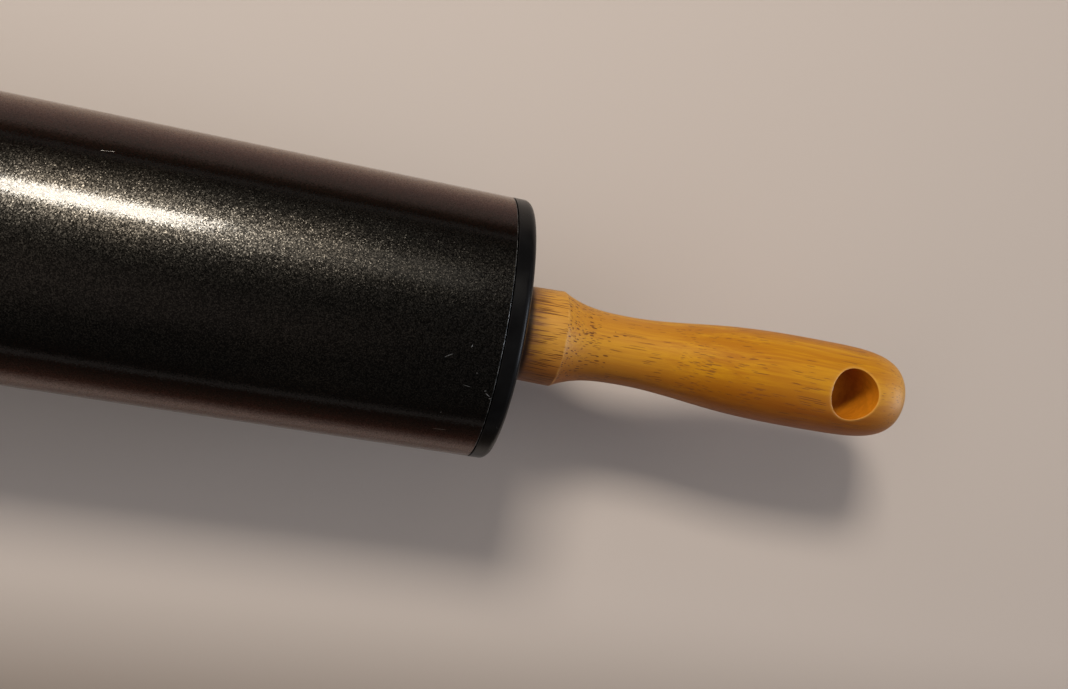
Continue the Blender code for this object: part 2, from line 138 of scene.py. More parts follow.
@titled
class CapSettings(bpy.types.PropertyGroup):
    """The moulded end caps."""

    rim_width: size(0.0042, "Length of the cap that shows beyond the tube")
    corner: size(0.0017, "Rounding of the outer edge")
    rim_face: size(0.0031, "Width of the flat ring round the dish")
    dish_depth: size(0.0025, "Depth of the dished face")
    dish_slope: size(0.0008, "Draft of the dish's side")
    fillet: size(0.0010, "Rounding inside the mouldings")
    web: size(0.0030, "Thickness of the face")
    lip_thickness: size(0.0015, "Lip that holds the bearing in")
    lip_overlap: size(0.0020, "How far the lip covers the bearing")
    hub_wall: size(0.0022, "Wall round the bearing")
    hub_overhang: size(0.0010, "Hub length past the bearing")
    spigot_length: size(0.0120, "Length inside the tube")
    spigot_wall: size(0.0022, "Thickness of the spigot")
    spigot_lead: size(0.0006, "Chamfer that leads the spigot in")
    seat_gap: size(0.0003, "Gap round pieces that are pressed together")
    rib_count: count(8, "Ribs behind the face")
    rib_thickness: size(0.0016, "Thickness of a rib")
    rib_height: size(0.0065, "Height of a rib")
    rib_root: size(0.0005, "How far a rib runs into the wall that it joins")
    facets: count(256, "Flats round the cap")
    plastic: colour((0.0030, 0.0030, 0.0033), "Black of the moulded plastic")
    roughness: factor(0.22, "Roughness of the plastic")


@titled
class HandleSettings(bpy.types.PropertyGroup):
    """The turned wooden handles."""

    collar_length: size(0.0149, "Length of the collar")
    collar_root: size(0.0114, "Radius of the collar at its end face")
    collar_crest: size(0.0119, "Radius of the collar at its crisp edge")
    edge_break: size(0.0004, "Rounding of the collar's edges")
    neck_length: size(0.0177, "From the collar's edge to the waist")
    neck_slope: amount(-0.52, "Slope of the neck just past the collar")
    waist: size(0.00865, "Thinnest radius")
    swell_length: size(0.0263, "From the waist to the start of the belly")
    swell: size(0.0110, "Radius where the belly starts")
    swell_slope: amount(0.09, "Slope where the belly starts")
    belly_length: size(0.0235, "From the start of the belly to its widest")
    belly: size(0.0119, "Widest radius of the grip")
    nose_length: size(0.0256, "From the widest place to the tip")
    nose_bluntness: amount(4.0, "Power of the rounded nose: 2 is an ellipse, more is blunter")
    hole_radius: size(0.0065, "Hanging hole")
    hole_from_tip: size(0.0174, "Distance of the hole's middle from the tip")
    hole_rim: size(0.0004, "Rounding of the hole's edge")
    facets: count(160, "Flats round the handle")
    honey: colour((0.468, 0.216, 0.003), "Lightest colour of the lacquered wood")
    amber: colour((0.347, 0.128, 0.002), "Darker bands of the wood")
    pore: colour((0.115, 0.032, 0.006), "Dark dashes along the grain")
    # Painted shade: this tint, multiplied in on the handle's -Y side, darkens and reddens the side that
    # faces away from the lamp.
    heart: colour((0.72, 0.48, 0.46), "What the redder heartwood on one side does to the colour")
    bared: colour((0.615, 0.325, 0.072), "Paler wood where the lacquer is thin")
    # Partly dirt and partly painted shade: the darker, pinker wood next to the cap stands in for dough
    # that creeps in and for the cap's shade.
    soiled: colour((0.240, 0.100, 0.055), "Wood next to the cap, where wet dough creeps in")
    # Painted shade: this near-black stands in for the shade that the cap's rim casts on the collar next
    # to it.
    grease: colour((0.020, 0.008, 0.005), "Dark grease on the collar next to the cap")
    end_grain: colour((0.460, 0.150, 0.005), "Wood inside the hanging hole")
    roughness: factor(0.50, "Roughness of the wood itself")
    lacquer: factor(0.16, "How much lacquer lies over the wood")
    lacquer_roughness: factor(0.34, "Roughness of the lacquer")


@titled
class BearingSettings(bpy.types.PropertyGroup):
    """The ball bearings inside the caps."""

    radius: size(0.0110, "Outside of the outer ring")
    width: size(0.0070, "Width of both rings")
    chamfer: size(0.0003, "Corner of the outer ring")
    ball_radius: size(0.00195, "Radius of a ball")
    ball_count: count(7, "Balls in one bearing")
    race_gap: size(0.0002, "Gap between a ball and its groove")
    outer_land: size(0.00045, "How far the outer ring stands in from the balls' outer line")
    inner_land: size(0.0006, "How far the inner ring stands out from the balls' inner line")
    shield_thickness: size(0.0003, "Thickness of a shield")
    shield_step: size(0.0007, "Step in the outer ring that holds a shield")
    cage_thickness: size(0.0015, "Thickness of the cage")
    cage_back: size(0.0004, "Cage behind the pockets")
    cage_mouth: size(0.0013, "Cage in front of the balls' middles")
    facets: count(96, "Flats round a ring")
    steel: colour((0.60, 0.60, 0.61), "Polished bearing steel")
    nylon: colour((0.66, 0.62, 0.50), "Cage")


@titled
class AxleSettings(bpy.types.PropertyGroup):
    """The steel axle and what is on it."""

    radius: size(0.0040, "Axle")
    chamfer: size(0.0008, "Chamfer at the axle's ends")
    thread_pitch: size(0.00125, "Pitch of the thread in each handle")
    thread_depth: size(0.0005, "Depth of the thread")
    thread_length: size(0.0215, "Length of the thread at each end")
    groove_depth: size(0.0007, "Grooves for the clips")
    clip_thickness: size(0.0010, "Spring clip")
    clip_radius: size(0.0068, "Outside of the clip")
    clip_recess: size(0.0014, "How far the prongs stand in from the clip's ring")
    clip_mouth: degrees(70, "Opening of the clip")
    clip_prong: degrees(30, "Width of one prong")
    washer_radius: size(0.0060, "Washer between the bearing and the handle")
    insert_radius: size(0.0062, "Brass insert's sleeve")
    insert_flange_radius: size(0.0082, "Brass insert's flange")
    insert_flange: size(0.0015, "Thickness of the flange")
    barb_height: size(0.0004, "Height of the insert's barbs")
    barb_count: count(3, "Barbs on the insert")
    facets: count(64, "Flats round the axle")
    steel: colour((0.45, 0.45, 0.46), "Drawn steel of the axle")
    brass: colour((0.66, 0.46, 0.19), "Insert")


@titled
class StudioSettings(bpy.types.PropertyGroup):
    """The floor, the lamps and the camera."""

    floor_size: size(8.0, "Side of the floor")
    floor: colour((0.492, 0.436, 0.407), "Pale matt floor")
    # Painted shade: the floor is darkened to this colour in front of and behind the pin.
    painted_floor_shade: colour((0.130, 0.100, 0.078), "Floor further out on the two long sides of the pin")
    horizon: colour((0.40, 0.36, 0.33), "Far edge of the room, level with the floor")
    ceiling: colour((0.060, 0.054, 0.050), "Dim middle of the ceiling")
    ceiling_patch: colour((0.22, 0.18, 0.16), "Faintly lit part of the ceiling")
    left_wall: colour((1.0, 0.94, 0.86), "Bright wall beyond the left end")
    right_wall: colour((0.30, 0.31, 0.33), "Wall beyond the right end")
    window: colour((0.78, 0.86, 1.0), "Cool window in the right wall")
    window_light: amount(8.0, "How bright the window is")
    wall_light: amount(1.45, "How bright the two walls are")
    key_power: amount(5.25, "Warm lamp behind", "POWER")
    glow_power: amount(1.3, "Faint lamp overhead", "POWER")
    lens: amount(30.551, "Focal length on a 36 mm sensor", "CAMERA")
    eye: FloatVectorProperty(
        description="Camera from the middle of the barrel's axis",
        default=(0.09249, 0.01302, 0.21914),
        size=3,
        subtype="TRANSLATION",
    )
    tilt: FloatVectorProperty(
        description="Camera's turns about X, Y and Z",
        default=(math.radians(-5.945), math.radians(-10.014), math.radians(10.964)),
        size=3,
        subtype="EULER",
    )


@titled
class RollingPinSettings(bpy.types.PropertyGroup):
    """All the settings of the pin and its studio."""

    barrel: PointerProperty(type=BarrelSettings, description="Coated tube")
    cap: PointerProperty(type=CapSettings, description="Moulded end caps")
    handle: PointerProperty(type=HandleSettings, description="Turned handles")
    bearing: PointerProperty(type=BearingSettings, description="Ball bearings")
    axle: PointerProperty(type=AxleSettings, description="Axle and what is on it")
    studio: PointerProperty(type=StudioSettings, description="Floor, lamps and camera")


# Shapes


def smooth_out(mesh):
    """Shades a mesh smooth, but for its sharp corners."""
    mesh.shade_smooth()
    mesh.set_sharp_from_angle(angle=SMOOTH_ANGLE)


def new_piece(name, bm):
    """A mesh object with its faces turned outwards and its round parts smooth."""
    bmesh.ops.remove_doubles(bm, verts=bm.verts, dist=MERGE_DISTANCE)
    bmesh.ops.recalc_face_normals(bm, faces=bm.faces)
    mesh = bpy.data.meshes.new(name)
    bm.to_mesh(mesh)
    bm.free()
    smooth_out(mesh)
    obj = bpy.data.objects.new(name, mesh)
    bpy.context.scene.collection.objects.link(obj)
    return obj


def lathe(name, profile, facets, closed=True):
    """Turns (along, radius) points about X: a closed profile into a ring, an open one into a solid."""
    bm = bmesh.new()
    verts = [bm.verts.new((along, 0.0, -radius)) for along, radius in profile]
    pairs = list(zip(verts, verts[1:]))
    if closed:
        pairs.append((verts[-1], verts[0]))
    edges = [bm.edges.new(pair) for pair in pairs]
    bmesh.ops.spin(
        bm,
        geom=verts + edges,
        cent=(0.0, 0.0, 0.0),
        axis=(1.0, 0.0, 0.0),
        angle=2 * math.pi,
        steps=facets,
        use_merge=True,
    )
    return new_piece(name, bm)


def arc(centre, radius, start, end, steps):
    """Points along a round from one angle to another, the angles in degrees from +X."""
    points = []
    for step in range(steps + 1):
        angle = math.radians(start + (end - start) * step / steps)
        points.append((centre[0] + radius * math.cos(angle), centre[1] + radius * math.sin(angle)))
    return points


def shoulders(half, radius, edge, steps):
    """The two rounded outer corners of a ring that reaches as far to the left as to the right."""
    along, across = half - edge, radius - edge
    return arc((along, across), edge, 0, 90, steps) + arc((-along, across), edge, 90, 180, steps)


def hermite(start, end, start_slope, end_slope, steps):
    """Points after the start of a smooth curve through two points with given slopes."""
    length = end[0] - start[0]
    points = []
    for step in range(1, steps + 1):
        t = step / steps
        radius = (
            (2 * t**3 - 3 * t**2 + 1) * start[1]
            + (t**3 - 2 * t**2 + t) * length * start_slope
            + (3 * t**2 - 2 * t**3) * end[1]
            + (t**3 - t**2) * length * end_slope
        )
        points.append((start[0] + length * t, radius))
    return points


def raise_face(bm, points, height):
    """Makes a flat face from points and draws it out along X into a solid."""
    face = bm.faces.new([bm.verts.new(point) for point in points])
    raised = bmesh.ops.extrude_face_region(bm, geom=[face])
    tops = [item for item in raised["geom"] if isinstance(item, bmesh.types.BMVert)]
    bmesh.ops.translate(bm, verts=tops, vec=(height, 0.0, 0.0))


def combine(piece, tool, operation):
    """Joins a helper to a piece or cuts it away, and removes the helper."""
    modifier = piece.modifiers.new(tool.name, "BOOLEAN")
    modifier.operation = operation
    modifier.solver = "EXACT"
    modifier.object = tool
    graph = bpy.context.evaluated_depsgraph_get()
    made = bpy.data.meshes.new_from_object(piece.evaluated_get(graph))
    piece.modifiers.clear()
    piece.data = made
    smooth_out(made)
    bpy.data.objects.remove(tool, do_unlink=True)


def seat(piece, body, node, side, along, finish):
    """Stands a piece in the place of its node, gives it its finish and lets it move with its body."""
    piece.location = (side * along, 0.0, AXIS_HEIGHT)
    piece.rotation_euler = (0.0, 0.0, 0.0 if side > 0 else math.pi)
    if not piece.data.materials:
        piece.data.materials.append(finish)
    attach(piece, body)
    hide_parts(node)


def middle(node):
    """How far along the axis the middle of a right-hand node lies."""
    low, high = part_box(node)
    return (low.x + high.x) / 2


# Finishes


def feed(tree, socket, value):
    """Links a socket to another, or sets its value."""
    if isinstance(value, bpy.types.NodeSocket):
        tree.links.new(value, socket)
    else:
        socket.default_value = value


def add(tree, kind, inputs, **options):
    """A node with its options and inputs set."""
    made = tree.nodes.new(kind)
    for name, value in options.items():
        setattr(made, name, value)
    for name, value in inputs.items():
        feed(tree, made.inputs[name], value)
    return made


def blank_finish(name):
    """A new material, its node tree and its shader."""
    material = bpy.data.materials.new(name)
    material.use_nodes = True
    tree = material.node_tree
    return material, tree, tree.nodes["Principled BSDF"]


def paint(tree, shader, inputs):
    """Feeds the named inputs of a shader."""
    for name, value in inputs.items():
        feed(tree, shader.inputs[name], value)


def vectors(tree, operation, *values):
    """One step of vector arithmetic."""
    made = add(tree, "ShaderNodeVectorMath", dict(enumerate(values)), operation=operation)
    return made.outputs["Vector"]


def scaled(tree, vector, by):
    """A vector or colour multiplied by one number."""
    made = add(tree, "ShaderNodeVectorMath", {0: vector, "Scale": by}, operation="SCALE")
    return made.outputs["Vector"]


def length_of(tree, vector):
    """The length of a vector."""
    return add(tree, "ShaderNodeVectorMath", {0: vector}, operation="LENGTH").outputs["Value"]


def split(tree, vector):
    """The X, Y and Z outputs of a vector."""
    return add(tree, "ShaderNodeSeparateXYZ", {0: vector}).outputs


def own_place(tree, stretch=1.0, offset=(0.0, 0.0, 0.0)):
    """The piece's own coordinates, multiplied by one number or by three, and then shifted."""
    factors = stretch if isinstance(stretch, tuple) else (stretch,) * 3
    coordinates = add(tree, "ShaderNodeTexCoord", {}).outputs["Object"]
    return vectors(tree, "MULTIPLY_ADD", coordinates, factors, offset)


def noise(tree, place, detail=2.0, roughness=0.5, scale=1.0):
    """A soft noise from 0 to 1."""
    inputs = {"Vector": place, "Scale": scale, "Detail": detail, "Roughness": roughness}
    return add(tree, "ShaderNodeTexNoise", inputs).outputs["Fac"]


def drift(tree, place, scale=1.0):
    """A soft noise that drifts its own way in each direction."""
    made = add(tree, "ShaderNodeTexNoise", {"Vector": place, "Scale": scale, "Detail": 2.0})
    return made.outputs["Color"]


def cells(tree, place, feature="F1"):
    """Random cells, one to each unit of the place: their distances, colours and middles."""
    return add(tree, "ShaderNodeTexVoronoi", {"Vector": place, "Scale": 1.0}, feature=feature).outputs


def span(tree, value, start, end, low=0.0, high=1.0, smooth=True):
    """Maps a value from one span to another, and holds it at the ends."""
    made = add(
        tree,
        "ShaderNodeMapRange",
        {"Value": value, "From Min": start, "From Max": end, "To Min": low, "To Max": high},
        interpolation_type="SMOOTHSTEP" if smooth else "LINEAR",
    )
    return made.outputs["Result"]


def maths(tree, operation, first, second=0.0):
    """One step of arithmetic."""
    return add(tree, "ShaderNodeMath", {0: first, 1: second}, operation=operation).outputs["Value"]


def times(tree, first, second):
    """Two values multiplied."""
    return maths(tree, "MULTIPLY", first, second)


def plus(tree, first, second):
    """Two values added."""
    return maths(tree, "ADD", first, second)


def larger(tree, first, second):
    """The larger of two values."""
    return maths(tree, "MAXIMUM", first, second)


def blend(tree, share, first, second, mode="MIX"):
    """Mixes two colours."""
    made = add(tree, "ShaderNodeMix", {0: share}, data_type="RGBA", blend_type=mode)
    feed(tree, made.inputs[6], first if isinstance(first, bpy.types.NodeSocket) else (*first, 1.0))
    feed(tree, made.inputs[7], second if isinstance(second, bpy.types.NodeSocket) else (*second, 1.0))
    return made.outputs[2]


def shaded(tone, share):
    """A colour with each part multiplied by one share."""
    return tuple(share * part for part in tone)


def bump(tree, height, distance, strength, normal=None):
    """A bumped normal from a height between 0 and 1."""
    inputs = {"Height": height, "Distance": distance, "Strength": strength}
    if normal is not None:
        inputs["Normal"] = normal
    return add(tree, "ShaderNodeBump", inputs).outputs["Normal"]


def hairlines(tree, place, width, cover):
    """Sparse, thin, short lines as a mask: the edges of large warped cells, mostly hidden."""
    warped = vectors(tree, "MULTIPLY_ADD", drift(tree, place, 0.7), (0.8, 0.8, 0.8), place)
    line = span(tree, cells(tree, warped, "DISTANCE_TO_EDGE")["Distance"], width, width * 0.3)
    shown = span(tree, noise(tree, place, 1.0, scale=1.9), 1.0 - cover, 1.04 - cover)
    return times(tree, line, shown)


def unrolled(tree, radius):
    """A round surface laid flat: along the axis, and round it from the top."""
    place = split(tree, add(tree, "ShaderNodeTexCoord", {}).outputs["Object"])
    turn = maths(tree, "ARCTAN2", place["Y"], place["Z"])
    flat = add(tree, "ShaderNodeCombineXYZ", {"X": place["X"], "Y": times(tree, turn, radius)})
    return flat.outputs["Vector"]


def nick(tree, flat, place, length, width, slant):
    """One slender mark on an unrolled surface, as a mask."""
    fitted = {"Location": (*place, 0.0), "Rotation": (0.0, 0.0, slant), "Scale": (length, width, 1.0)}
    inside = add(tree, "ShaderNodeMapping", {"Vector": flat, **fitted}, vector_type="TEXTURE")
    return span(tree, length_of(tree, inside.outputs["Vector"]), 0.5, 0.3)


# Marks of use: place along the barrel, degrees round from the top, length, width, slant in degrees
NICKS = (
    (0.1115, -10.0, 0.0024, 0.00016, 32),
    (0.1159, -4.9, 0.0010, 0.00014, 75),
    (0.1166, -21.1, 0.0022, 0.00013, -8),
    (0.1181, -15.1, 0.0004, 0.00024, 0),
    (0.1207, -22.0, 0.0005, 0.00028, 20),
    (0.1126, -35.5, 0.0003, 0.00024, 0),
    (0.1214, -23.6, 0.0016, 0.00024, -35),
    (0.1222, -25.0, 0.0010, 0.00030, 15),
    (0.1134, -46.0, 0.0036, 0.00014, 6),
    (0.0377, 45.2, 0.0034, 0.00009, 10),
    (0.0364, 21.8, 0.0014, 0.00014, 15),
    (-0.0610, 12.0, 0.0030, 0.00014, -25),
    (-0.1040, -30.0, 0.0024, 0.00014, 60),
    (-0.0200, 118.0, 0.0042, 0.00014, 12),
    (0.0730, 160.0, 0.0028, 0.00014, -50),
    (-0.0900, -140.0, 0.0034, 0.00014, 35),
)


def leaning(tree, tone, lean, normal):
    """A normal that leans its own way in each random tone, a little in most and far in a few."""
    chance = add(tree, "ShaderNodeSeparateColor", {0: tone}).outputs["Blue"]
    reach = span(tree, times(tree, chance, chance), 0.0, 1.0, 0.75 * lean, 1.3 * lean, False)
    tilt = scaled(tree, vectors(tree, "SUBTRACT", tone, (0.5, 0.5, 0.5)), reach)
    return vectors(tree, "NORMALIZE", vectors(tree, "ADD", tilt, normal))


def coating_finish(barrel):
    """Black non-stick coating: metal flakes under a smooth film, darker at a slant, and a few nicks."""
    material, tree, shader = blank_finish("nonstick_coating")
    grains = cells(tree, own_place(tree, 1.0 / barrel.grain_size))
    chance = add(tree, "ShaderNodeTexWhiteNoise", {"Vector": grains["Position"]}).outputs["Value"]
    shade = times(tree, chance, chance)
    waves = noise(tree, own_place(tree, (120.0, 220.0, 220.0)))
    haze = noise(tree, own_place(tree, (22.0, 60.0, 60.0)), 3.0)
    flat = unrolled(tree, barrel.radius)
    scratch = None
    for along, turn, length, width, slant in NICKS:
        place = (along, math.radians(turn) * barrel.radius)
        mark = nick(tree, flat, place, length, width, math.radians(slant))
        scratch = mark if scratch is None else larger(tree, scratch, mark)
    speck = span(tree, cells(tree, own_place(tree, 160.0))["Distance"], 0.024, 0.012)
    body = blend(tree, span(tree, haze, 0.35, 0.7), barrel.coating, barrel.coating_haze)
    facing = add(tree, "ShaderNodeLayerWeight", {"Blend": 0.5}).outputs["Facing"]
    slanted = span(tree, facing, 0.18, 0.35, 1.0, 0.12)
    strength = times(tree, slanted, span(tree, shade, 0.0, 1.0, 0.25, 2.5, False))
    dusty = blend(tree, times(tree, speck, 0.25), scaled(tree, body, strength), barrel.steel)
    smoothest = barrel.coating_roughness - 0.02
    rough = span(tree, haze, 0.25, 0.75, smoothest, barrel.coating_roughness + 0.02)
    scraped = times(tree, larger(tree, scratch, speck), 0.5)
    waved = bump(tree, waves, barrel.wave_depth, 0.3)
    nicked = bump(tree, scratch, 0.00002, 0.6, waved)
    paint(tree, shader, {
        "Base Color": blend(tree, times(tree, scratch, 0.60), dusty, barrel.steel),
        "Roughness": larger(tree, rough, scraped),
        "Metallic": 1.0,
        "Specular Tint": (*barrel.edge_sheen, 1.0),
        "Coat Weight": barrel.topcoat,
        "Coat Roughness": barrel.topcoat_roughness,
        "Coat IOR": 1.28,
        "Normal": leaning(tree, grains["Color"], barrel.grain_lean, nicked),
        "Coat Normal": leaning(tree, grains["Color"], 0.24 * barrel.grain_lean, waved),
    })
    return material


def steel_finish(name, steel, roughness, brushed):
    """Steel with fine lines round it and a slightly uneven polish."""
    material, tree, shader = blank_finish(name)
    lines = noise(tree, own_place(tree, (brushed, brushed / 40, brushed / 40)), 3.0)
    cloud = noise(tree, own_place(tree, 90.0))
    paint(tree, shader, {
        "Base Color": blend(tree, span(tree, cloud, 0.3, 0.7), shaded(steel, 0.72), steel),
        "Roughness": span(tree, lines, 0.2, 0.8, roughness * 0.75, roughness * 1.25),
        "Metallic": 1.0,
        "Normal": bump(tree, lines, 0.000006, 0.5),
    })
    return material


def worn_edge_finish(barrel):
    """The tube's cut edge: bare steel that shows through worn coating in broken stretches."""
    material, tree, shader = blank_finish("worn_edge")
    wear = noise(tree, own_place(tree, (900.0, 700.0, 700.0)), 3.0, 0.65)
    bare = span(tree, wear, 0.46, 0.62, 0.0, 0.75)
    paint(tree, shader, {
        "Base Color": blend(tree, bare, (0.004, 0.004, 0.004), shaded(barrel.steel, 0.5)),
        "Metallic": bare,
        "Roughness": span(tree, wear, 0.3, 0.7, 0.42, 0.30),
        "Normal": bump(tree, wear, 0.00004, 0.5),
    })
    return material


def plastic_finish(cap):
    """Smooth black moulded plastic, with the faint unevenness of its mould and light handling marks."""
    material, tree, shader = blank_finish("cap_plastic")
    cloud = noise(tree, own_place(tree, 120.0), 3.0)
    fine = noise(tree, own_place(tree, 2600.0))
    scuff = hairlines(tree, own_place(tree, (150.0, 170.0, 170.0)), 0.006, 0.30)
    body = blend(tree, span(tree, cloud, 0.35, 0.7), cap.plastic, shaded(cap.plastic, 1.7))
    paint(tree, shader, {
        "Base Color": blend(tree, times(tree, scuff, 0.08), body, (0.4, 0.4, 0.42)),
        "Roughness": span(tree, cloud, 0.3, 0.7, cap.roughness - 0.05, cap.roughness + 0.06),
        "Specular IOR Level": 0.10,
        "Normal": bump(tree, fine, 0.00002, 0.35),
    })
    return material


def stretched(tree, vector, along, across):
    """A place multiplied by one factor along the axis and by another across it."""
    return vectors(tree, "MULTIPLY", vector, (along, across, across))


def pores(tree, grain, along, across, kept):
    """Dark dashes drawn out along the grain: the hearts of some of the cells, some long, some short."""
    dashes = cells(tree, stretched(tree, grain, along, across))
    chance = add(tree, "ShaderNodeSeparateColor", {0: dashes["Color"]}).outputs
    widest = span(tree, chance["Green"], 0.0, 1.0, 0.26, 0.56)
    reach = maths(tree, "DIVIDE", dashes["Distance"], widest)
    return times(tree, span(tree, reach, 1.0, 0.72), maths(tree, "LESS_THAN", chance["Red"], kept))


def grain_of(tree, shift):
    """The place in the wood, swayed a little so that its lines wander."""
    shifted = own_place(tree, 1.0, shift)
    sway = drift(tree, stretched(tree, shifted, 22.0, 70.0))
    return vectors(tree, "MULTIPLY_ADD", sway, (0.0, GRAIN_SWAY, GRAIN_SWAY), shifted)


def handle_length(handle):
    """The handle's whole length, from the end of its collar to its tip."""
    grip = handle.swell_length + handle.belly_length + handle.nose_length
    return handle.collar_length + handle.neck_length + grip


def wood_finish(handle, label, shift):
    """Honey-coloured lacquered wood: wandering bands, fine fibre and dark pores along the grain."""
    material, tree, shader = blank_finish(f"handle_wood_{label}")
    own = own_place(tree)
    place = split(tree, own)
    along = place["X"]
    collar = handle.collar_length
    grain = grain_of(tree, shift)
    bands = noise(tree, stretched(tree, grain, 11.0, 210.0), 3.0, 0.55)
    streaks = noise(tree, stretched(tree, grain, 34.0, 1300.0), 2.0, 0.6)
    fibre = noise(tree, stretched(tree, grain, 220.0, 6000.0), 2.0, 0.6)
    patches = noise(tree, stretched(tree, grain, 40.0, 190.0))
    blotches = noise(tree, own_place(tree, 500.0), 3.0)

    # Pores: close lines on the collar, dots on the neck, and dashes and threads in patches
    on_collar = span(tree, along, collar + 0.0005, collar - 0.0005)
    on_neck = times(tree, maths(tree, "SUBTRACT", 1.0, on_collar), span(tree, along, 0.036, 0.020))
    crowded = span(tree, patches, 0.40, 0.62, 0.25, 0.75)
    lines = pores(tree, grain, 95.0, 3300.0, times(tree, on_collar, 0.74))
    dots = pores(tree, grain, 480.0, 2200.0, times(tree, on_neck, 0.30))
    dashes = pores(tree, grain, 240.0, 3400.0, times(tree, crowded, 0.20))
    threads = pores(tree, grain, 70.0, 3800.0, times(tree, crowded, 0.40))
    loose = times(tree, larger(tree, dashes, threads), 0.72)
    pore = larger(tree, larger(tree, lines, dots), loose)

    # Colour: the bands, the paler neck and nose, painted light on the collar, the fibre, and painted
    # shade on the side away from the lamp
    tone = plus(tree, times(tree, bands, 0.6), times(tree, streaks, 0.4))
    deep = plus(tree, tone, span(tree, along, 0.040, 0.075, -0.02, 0.03))
    turned = blend(tree, span(tree, deep, 0.40, 0.60), handle.honey, handle.amber)
    pale_neck = span(tree, along, 0.056, 0.026, 0.0, 0.22)
    pale_nose = span(tree, along, 0.096, 0.106, 0.0, 0.42)
    # Painted light: the collar is lightened by 0.30 of the paler wood to stand in for light that the
    # cap's shade takes from it. The neck and nose are paler wood.
    paleness_and_painted_light = plus(tree, plus(tree, pale_neck, times(tree, on_collar, 0.30)), pale_nose)
    body = blend(tree, paleness_and_painted_light, turned, handle.bared)
    fibred = blend(tree, span(tree, fibre, 0.3, 0.75, 0.0, 0.35), body, handle.amber)
    # Painted shade: the handle's -Y side, away from the lamp, is darkened and reddened by a multiplied
    # tint with a wavy edge.
    edge = plus(tree, place["Y"], span(tree, streaks, 0.3, 0.7, -0.0015, 0.0015, False))
    side_shaded = blend(tree, span(tree, edge, 0.0005, -0.0095), fibred, handle.heart, "MULTIPLY")
    pored = blend(tree, times(tree, pore, 0.90), side_shaded, handle.pore)

    # Wear: the collar's crisp edge and the hole's rim. Next to the cap: dough dirt mixed with painted
    # shade, and a dark strip of painted shade from the cap
    crest = maths(tree, "ABSOLUTE", maths(tree, "SUBTRACT", along, collar - handle.edge_break / 2))
    rubbed = times(tree, span(tree, crest, 0.00040, 0.00010), span(tree, blotches, 0.42, 0.58))
    length = handle_length(handle)
    from_hole = vectors(tree, "SUBTRACT", own, (length - handle.hole_from_tip, 0.0, 0.0))
    off_hole = length_of(tree, vectors(tree, "MULTIPLY", from_hole, (1.0, 1.0, 0.0)))
    rim = span(tree, off_hole, handle.hole_radius + 0.0009, handle.hole_radius + 0.0002, 0.0, 0.35)
    worn = blend(tree, larger(tree, times(tree, rubbed, 0.35), rim), pored, handle.bared)
    # Darker wood fading in from the cap: partly dough dirt, partly painted shade of the cap.
    from_cap = plus(tree, along, span(tree, streaks, 0.3, 0.7, -0.0025, 0.0025, False))
    soiled = blend(tree, span(tree, from_cap, 0.0100, 0.0050, 0.0, 0.65), worn, handle.soiled)
    sunk = maths(tree, "SUBTRACT", times(tree, fibre, 0.25), pore)
    paint(tree, shader, {
        # Painted shade: the collar is darkened almost to black in a strip next to the cap, for the
        # cap's shade.
        "Base Color": blend(tree, span(tree, along, 0.0071, 0.0056, 0.0, 0.92), soiled, handle.grease),
        "Roughness": span(tree, fibre, 0.2, 0.8, handle.roughness - 0.06, handle.roughness + 0.08),
        "Specular IOR Level": 0.20,
        "Coat Weight": handle.lacquer,
        "Coat Roughness": handle.lacquer_roughness,
        "Normal": bump(tree, sunk, 0.00006, 0.7),
        "Coat Normal": bump(tree, sunk, 0.00006, 0.3),
    })
    return material


def raw_wood_finish(handle, label, shift):
    """Unlacquered wood inside the drilled holes, furred by the drill."""
    material, tree, shader = blank_finish(f"raw_wood_{label}")
    grain = grain_of(tree, shift)
    bands = noise(tree, stretched(tree, grain, 60.0, 700.0), 3.0, 0.6)
    rings = noise(tree, own_place(tree, (300.0, 300.0, 3000.0)))
    deep = shaded(handle.end_grain, 0.86)
    paint(tree, shader, {
        "Base Color": blend(tree, span(tree, bands, 0.38, 0.62), handle.end_grain, deep),
        "Roughness": span(tree, bands, 0.3, 0.7, 0.85, 0.95),
        "Specular IOR Level": 0.05,
        "Normal": bump(tree, rings, 0.00006, 0.6),
    })
    return material


def plain_finish(name, tone, roughness, metallic):
    """A hidden piece's finish, with a slight cloudiness and a fine surface."""
    material, tree, shader = blank_finish(name)
    cloud = noise(tree, own_place(tree, 300.0), 3.0)
    paint(tree, shader, {
        "Base Color": blend(tree, span(tree, cloud, 0.3, 0.7), shaded(tone, 0.75), tone),
        "Roughness": span(tree, cloud, 0.2, 0.8, roughness * 0.8, roughness * 1.2),
        "Metallic": metallic,
        "Normal": bump(tree, noise(tree, own_place(tree, 4000.0)), 0.00001, 0.4),
    })
    return material


# Pieces


class ROLLINGPIN_OT_barrel(bpy.types.Operator):
    """Turn the coated barrel tube"""

    bl_idname = "rolling_pin.barrel"
    bl_label = "Barrel"

    def execute(self, context):
        barrel = context.scene.rolling_pin.barrel
        half = (TUBE_BOX[1].x - TUBE_BOX[0].x) / 2
        bore = barrel.radius - barrel.wall
        edge = barrel.edge_break
        profile = [(-half, bore), (half, bore), *shoulders(half, barrel.radius, edge, 4)]
        tube = lathe("barrel", profile, barrel.facets)
        finishes = (
            coating_finish(barrel),
            worn_edge_finish(barrel),
            steel_finish("bare_steel", barrel.steel, 0.32, 9000.0),
        )
        for finish in finishes:
            tube.data.materials.append(finish)
        coated, worn, bare = range(len(finishes))
        for face in tube.data.polygons:
            in_bore = math.hypot(face.center.y, face.center.z) < bore * 1.001
            on_edge = abs(face.center.x) > half - edge
            face.material_index = bare if in_bore else worn if on_edge else coated
        seat(tube, "barrel", "barrel_tube", 1, 0.0, None)
        return {"FINISHED"}


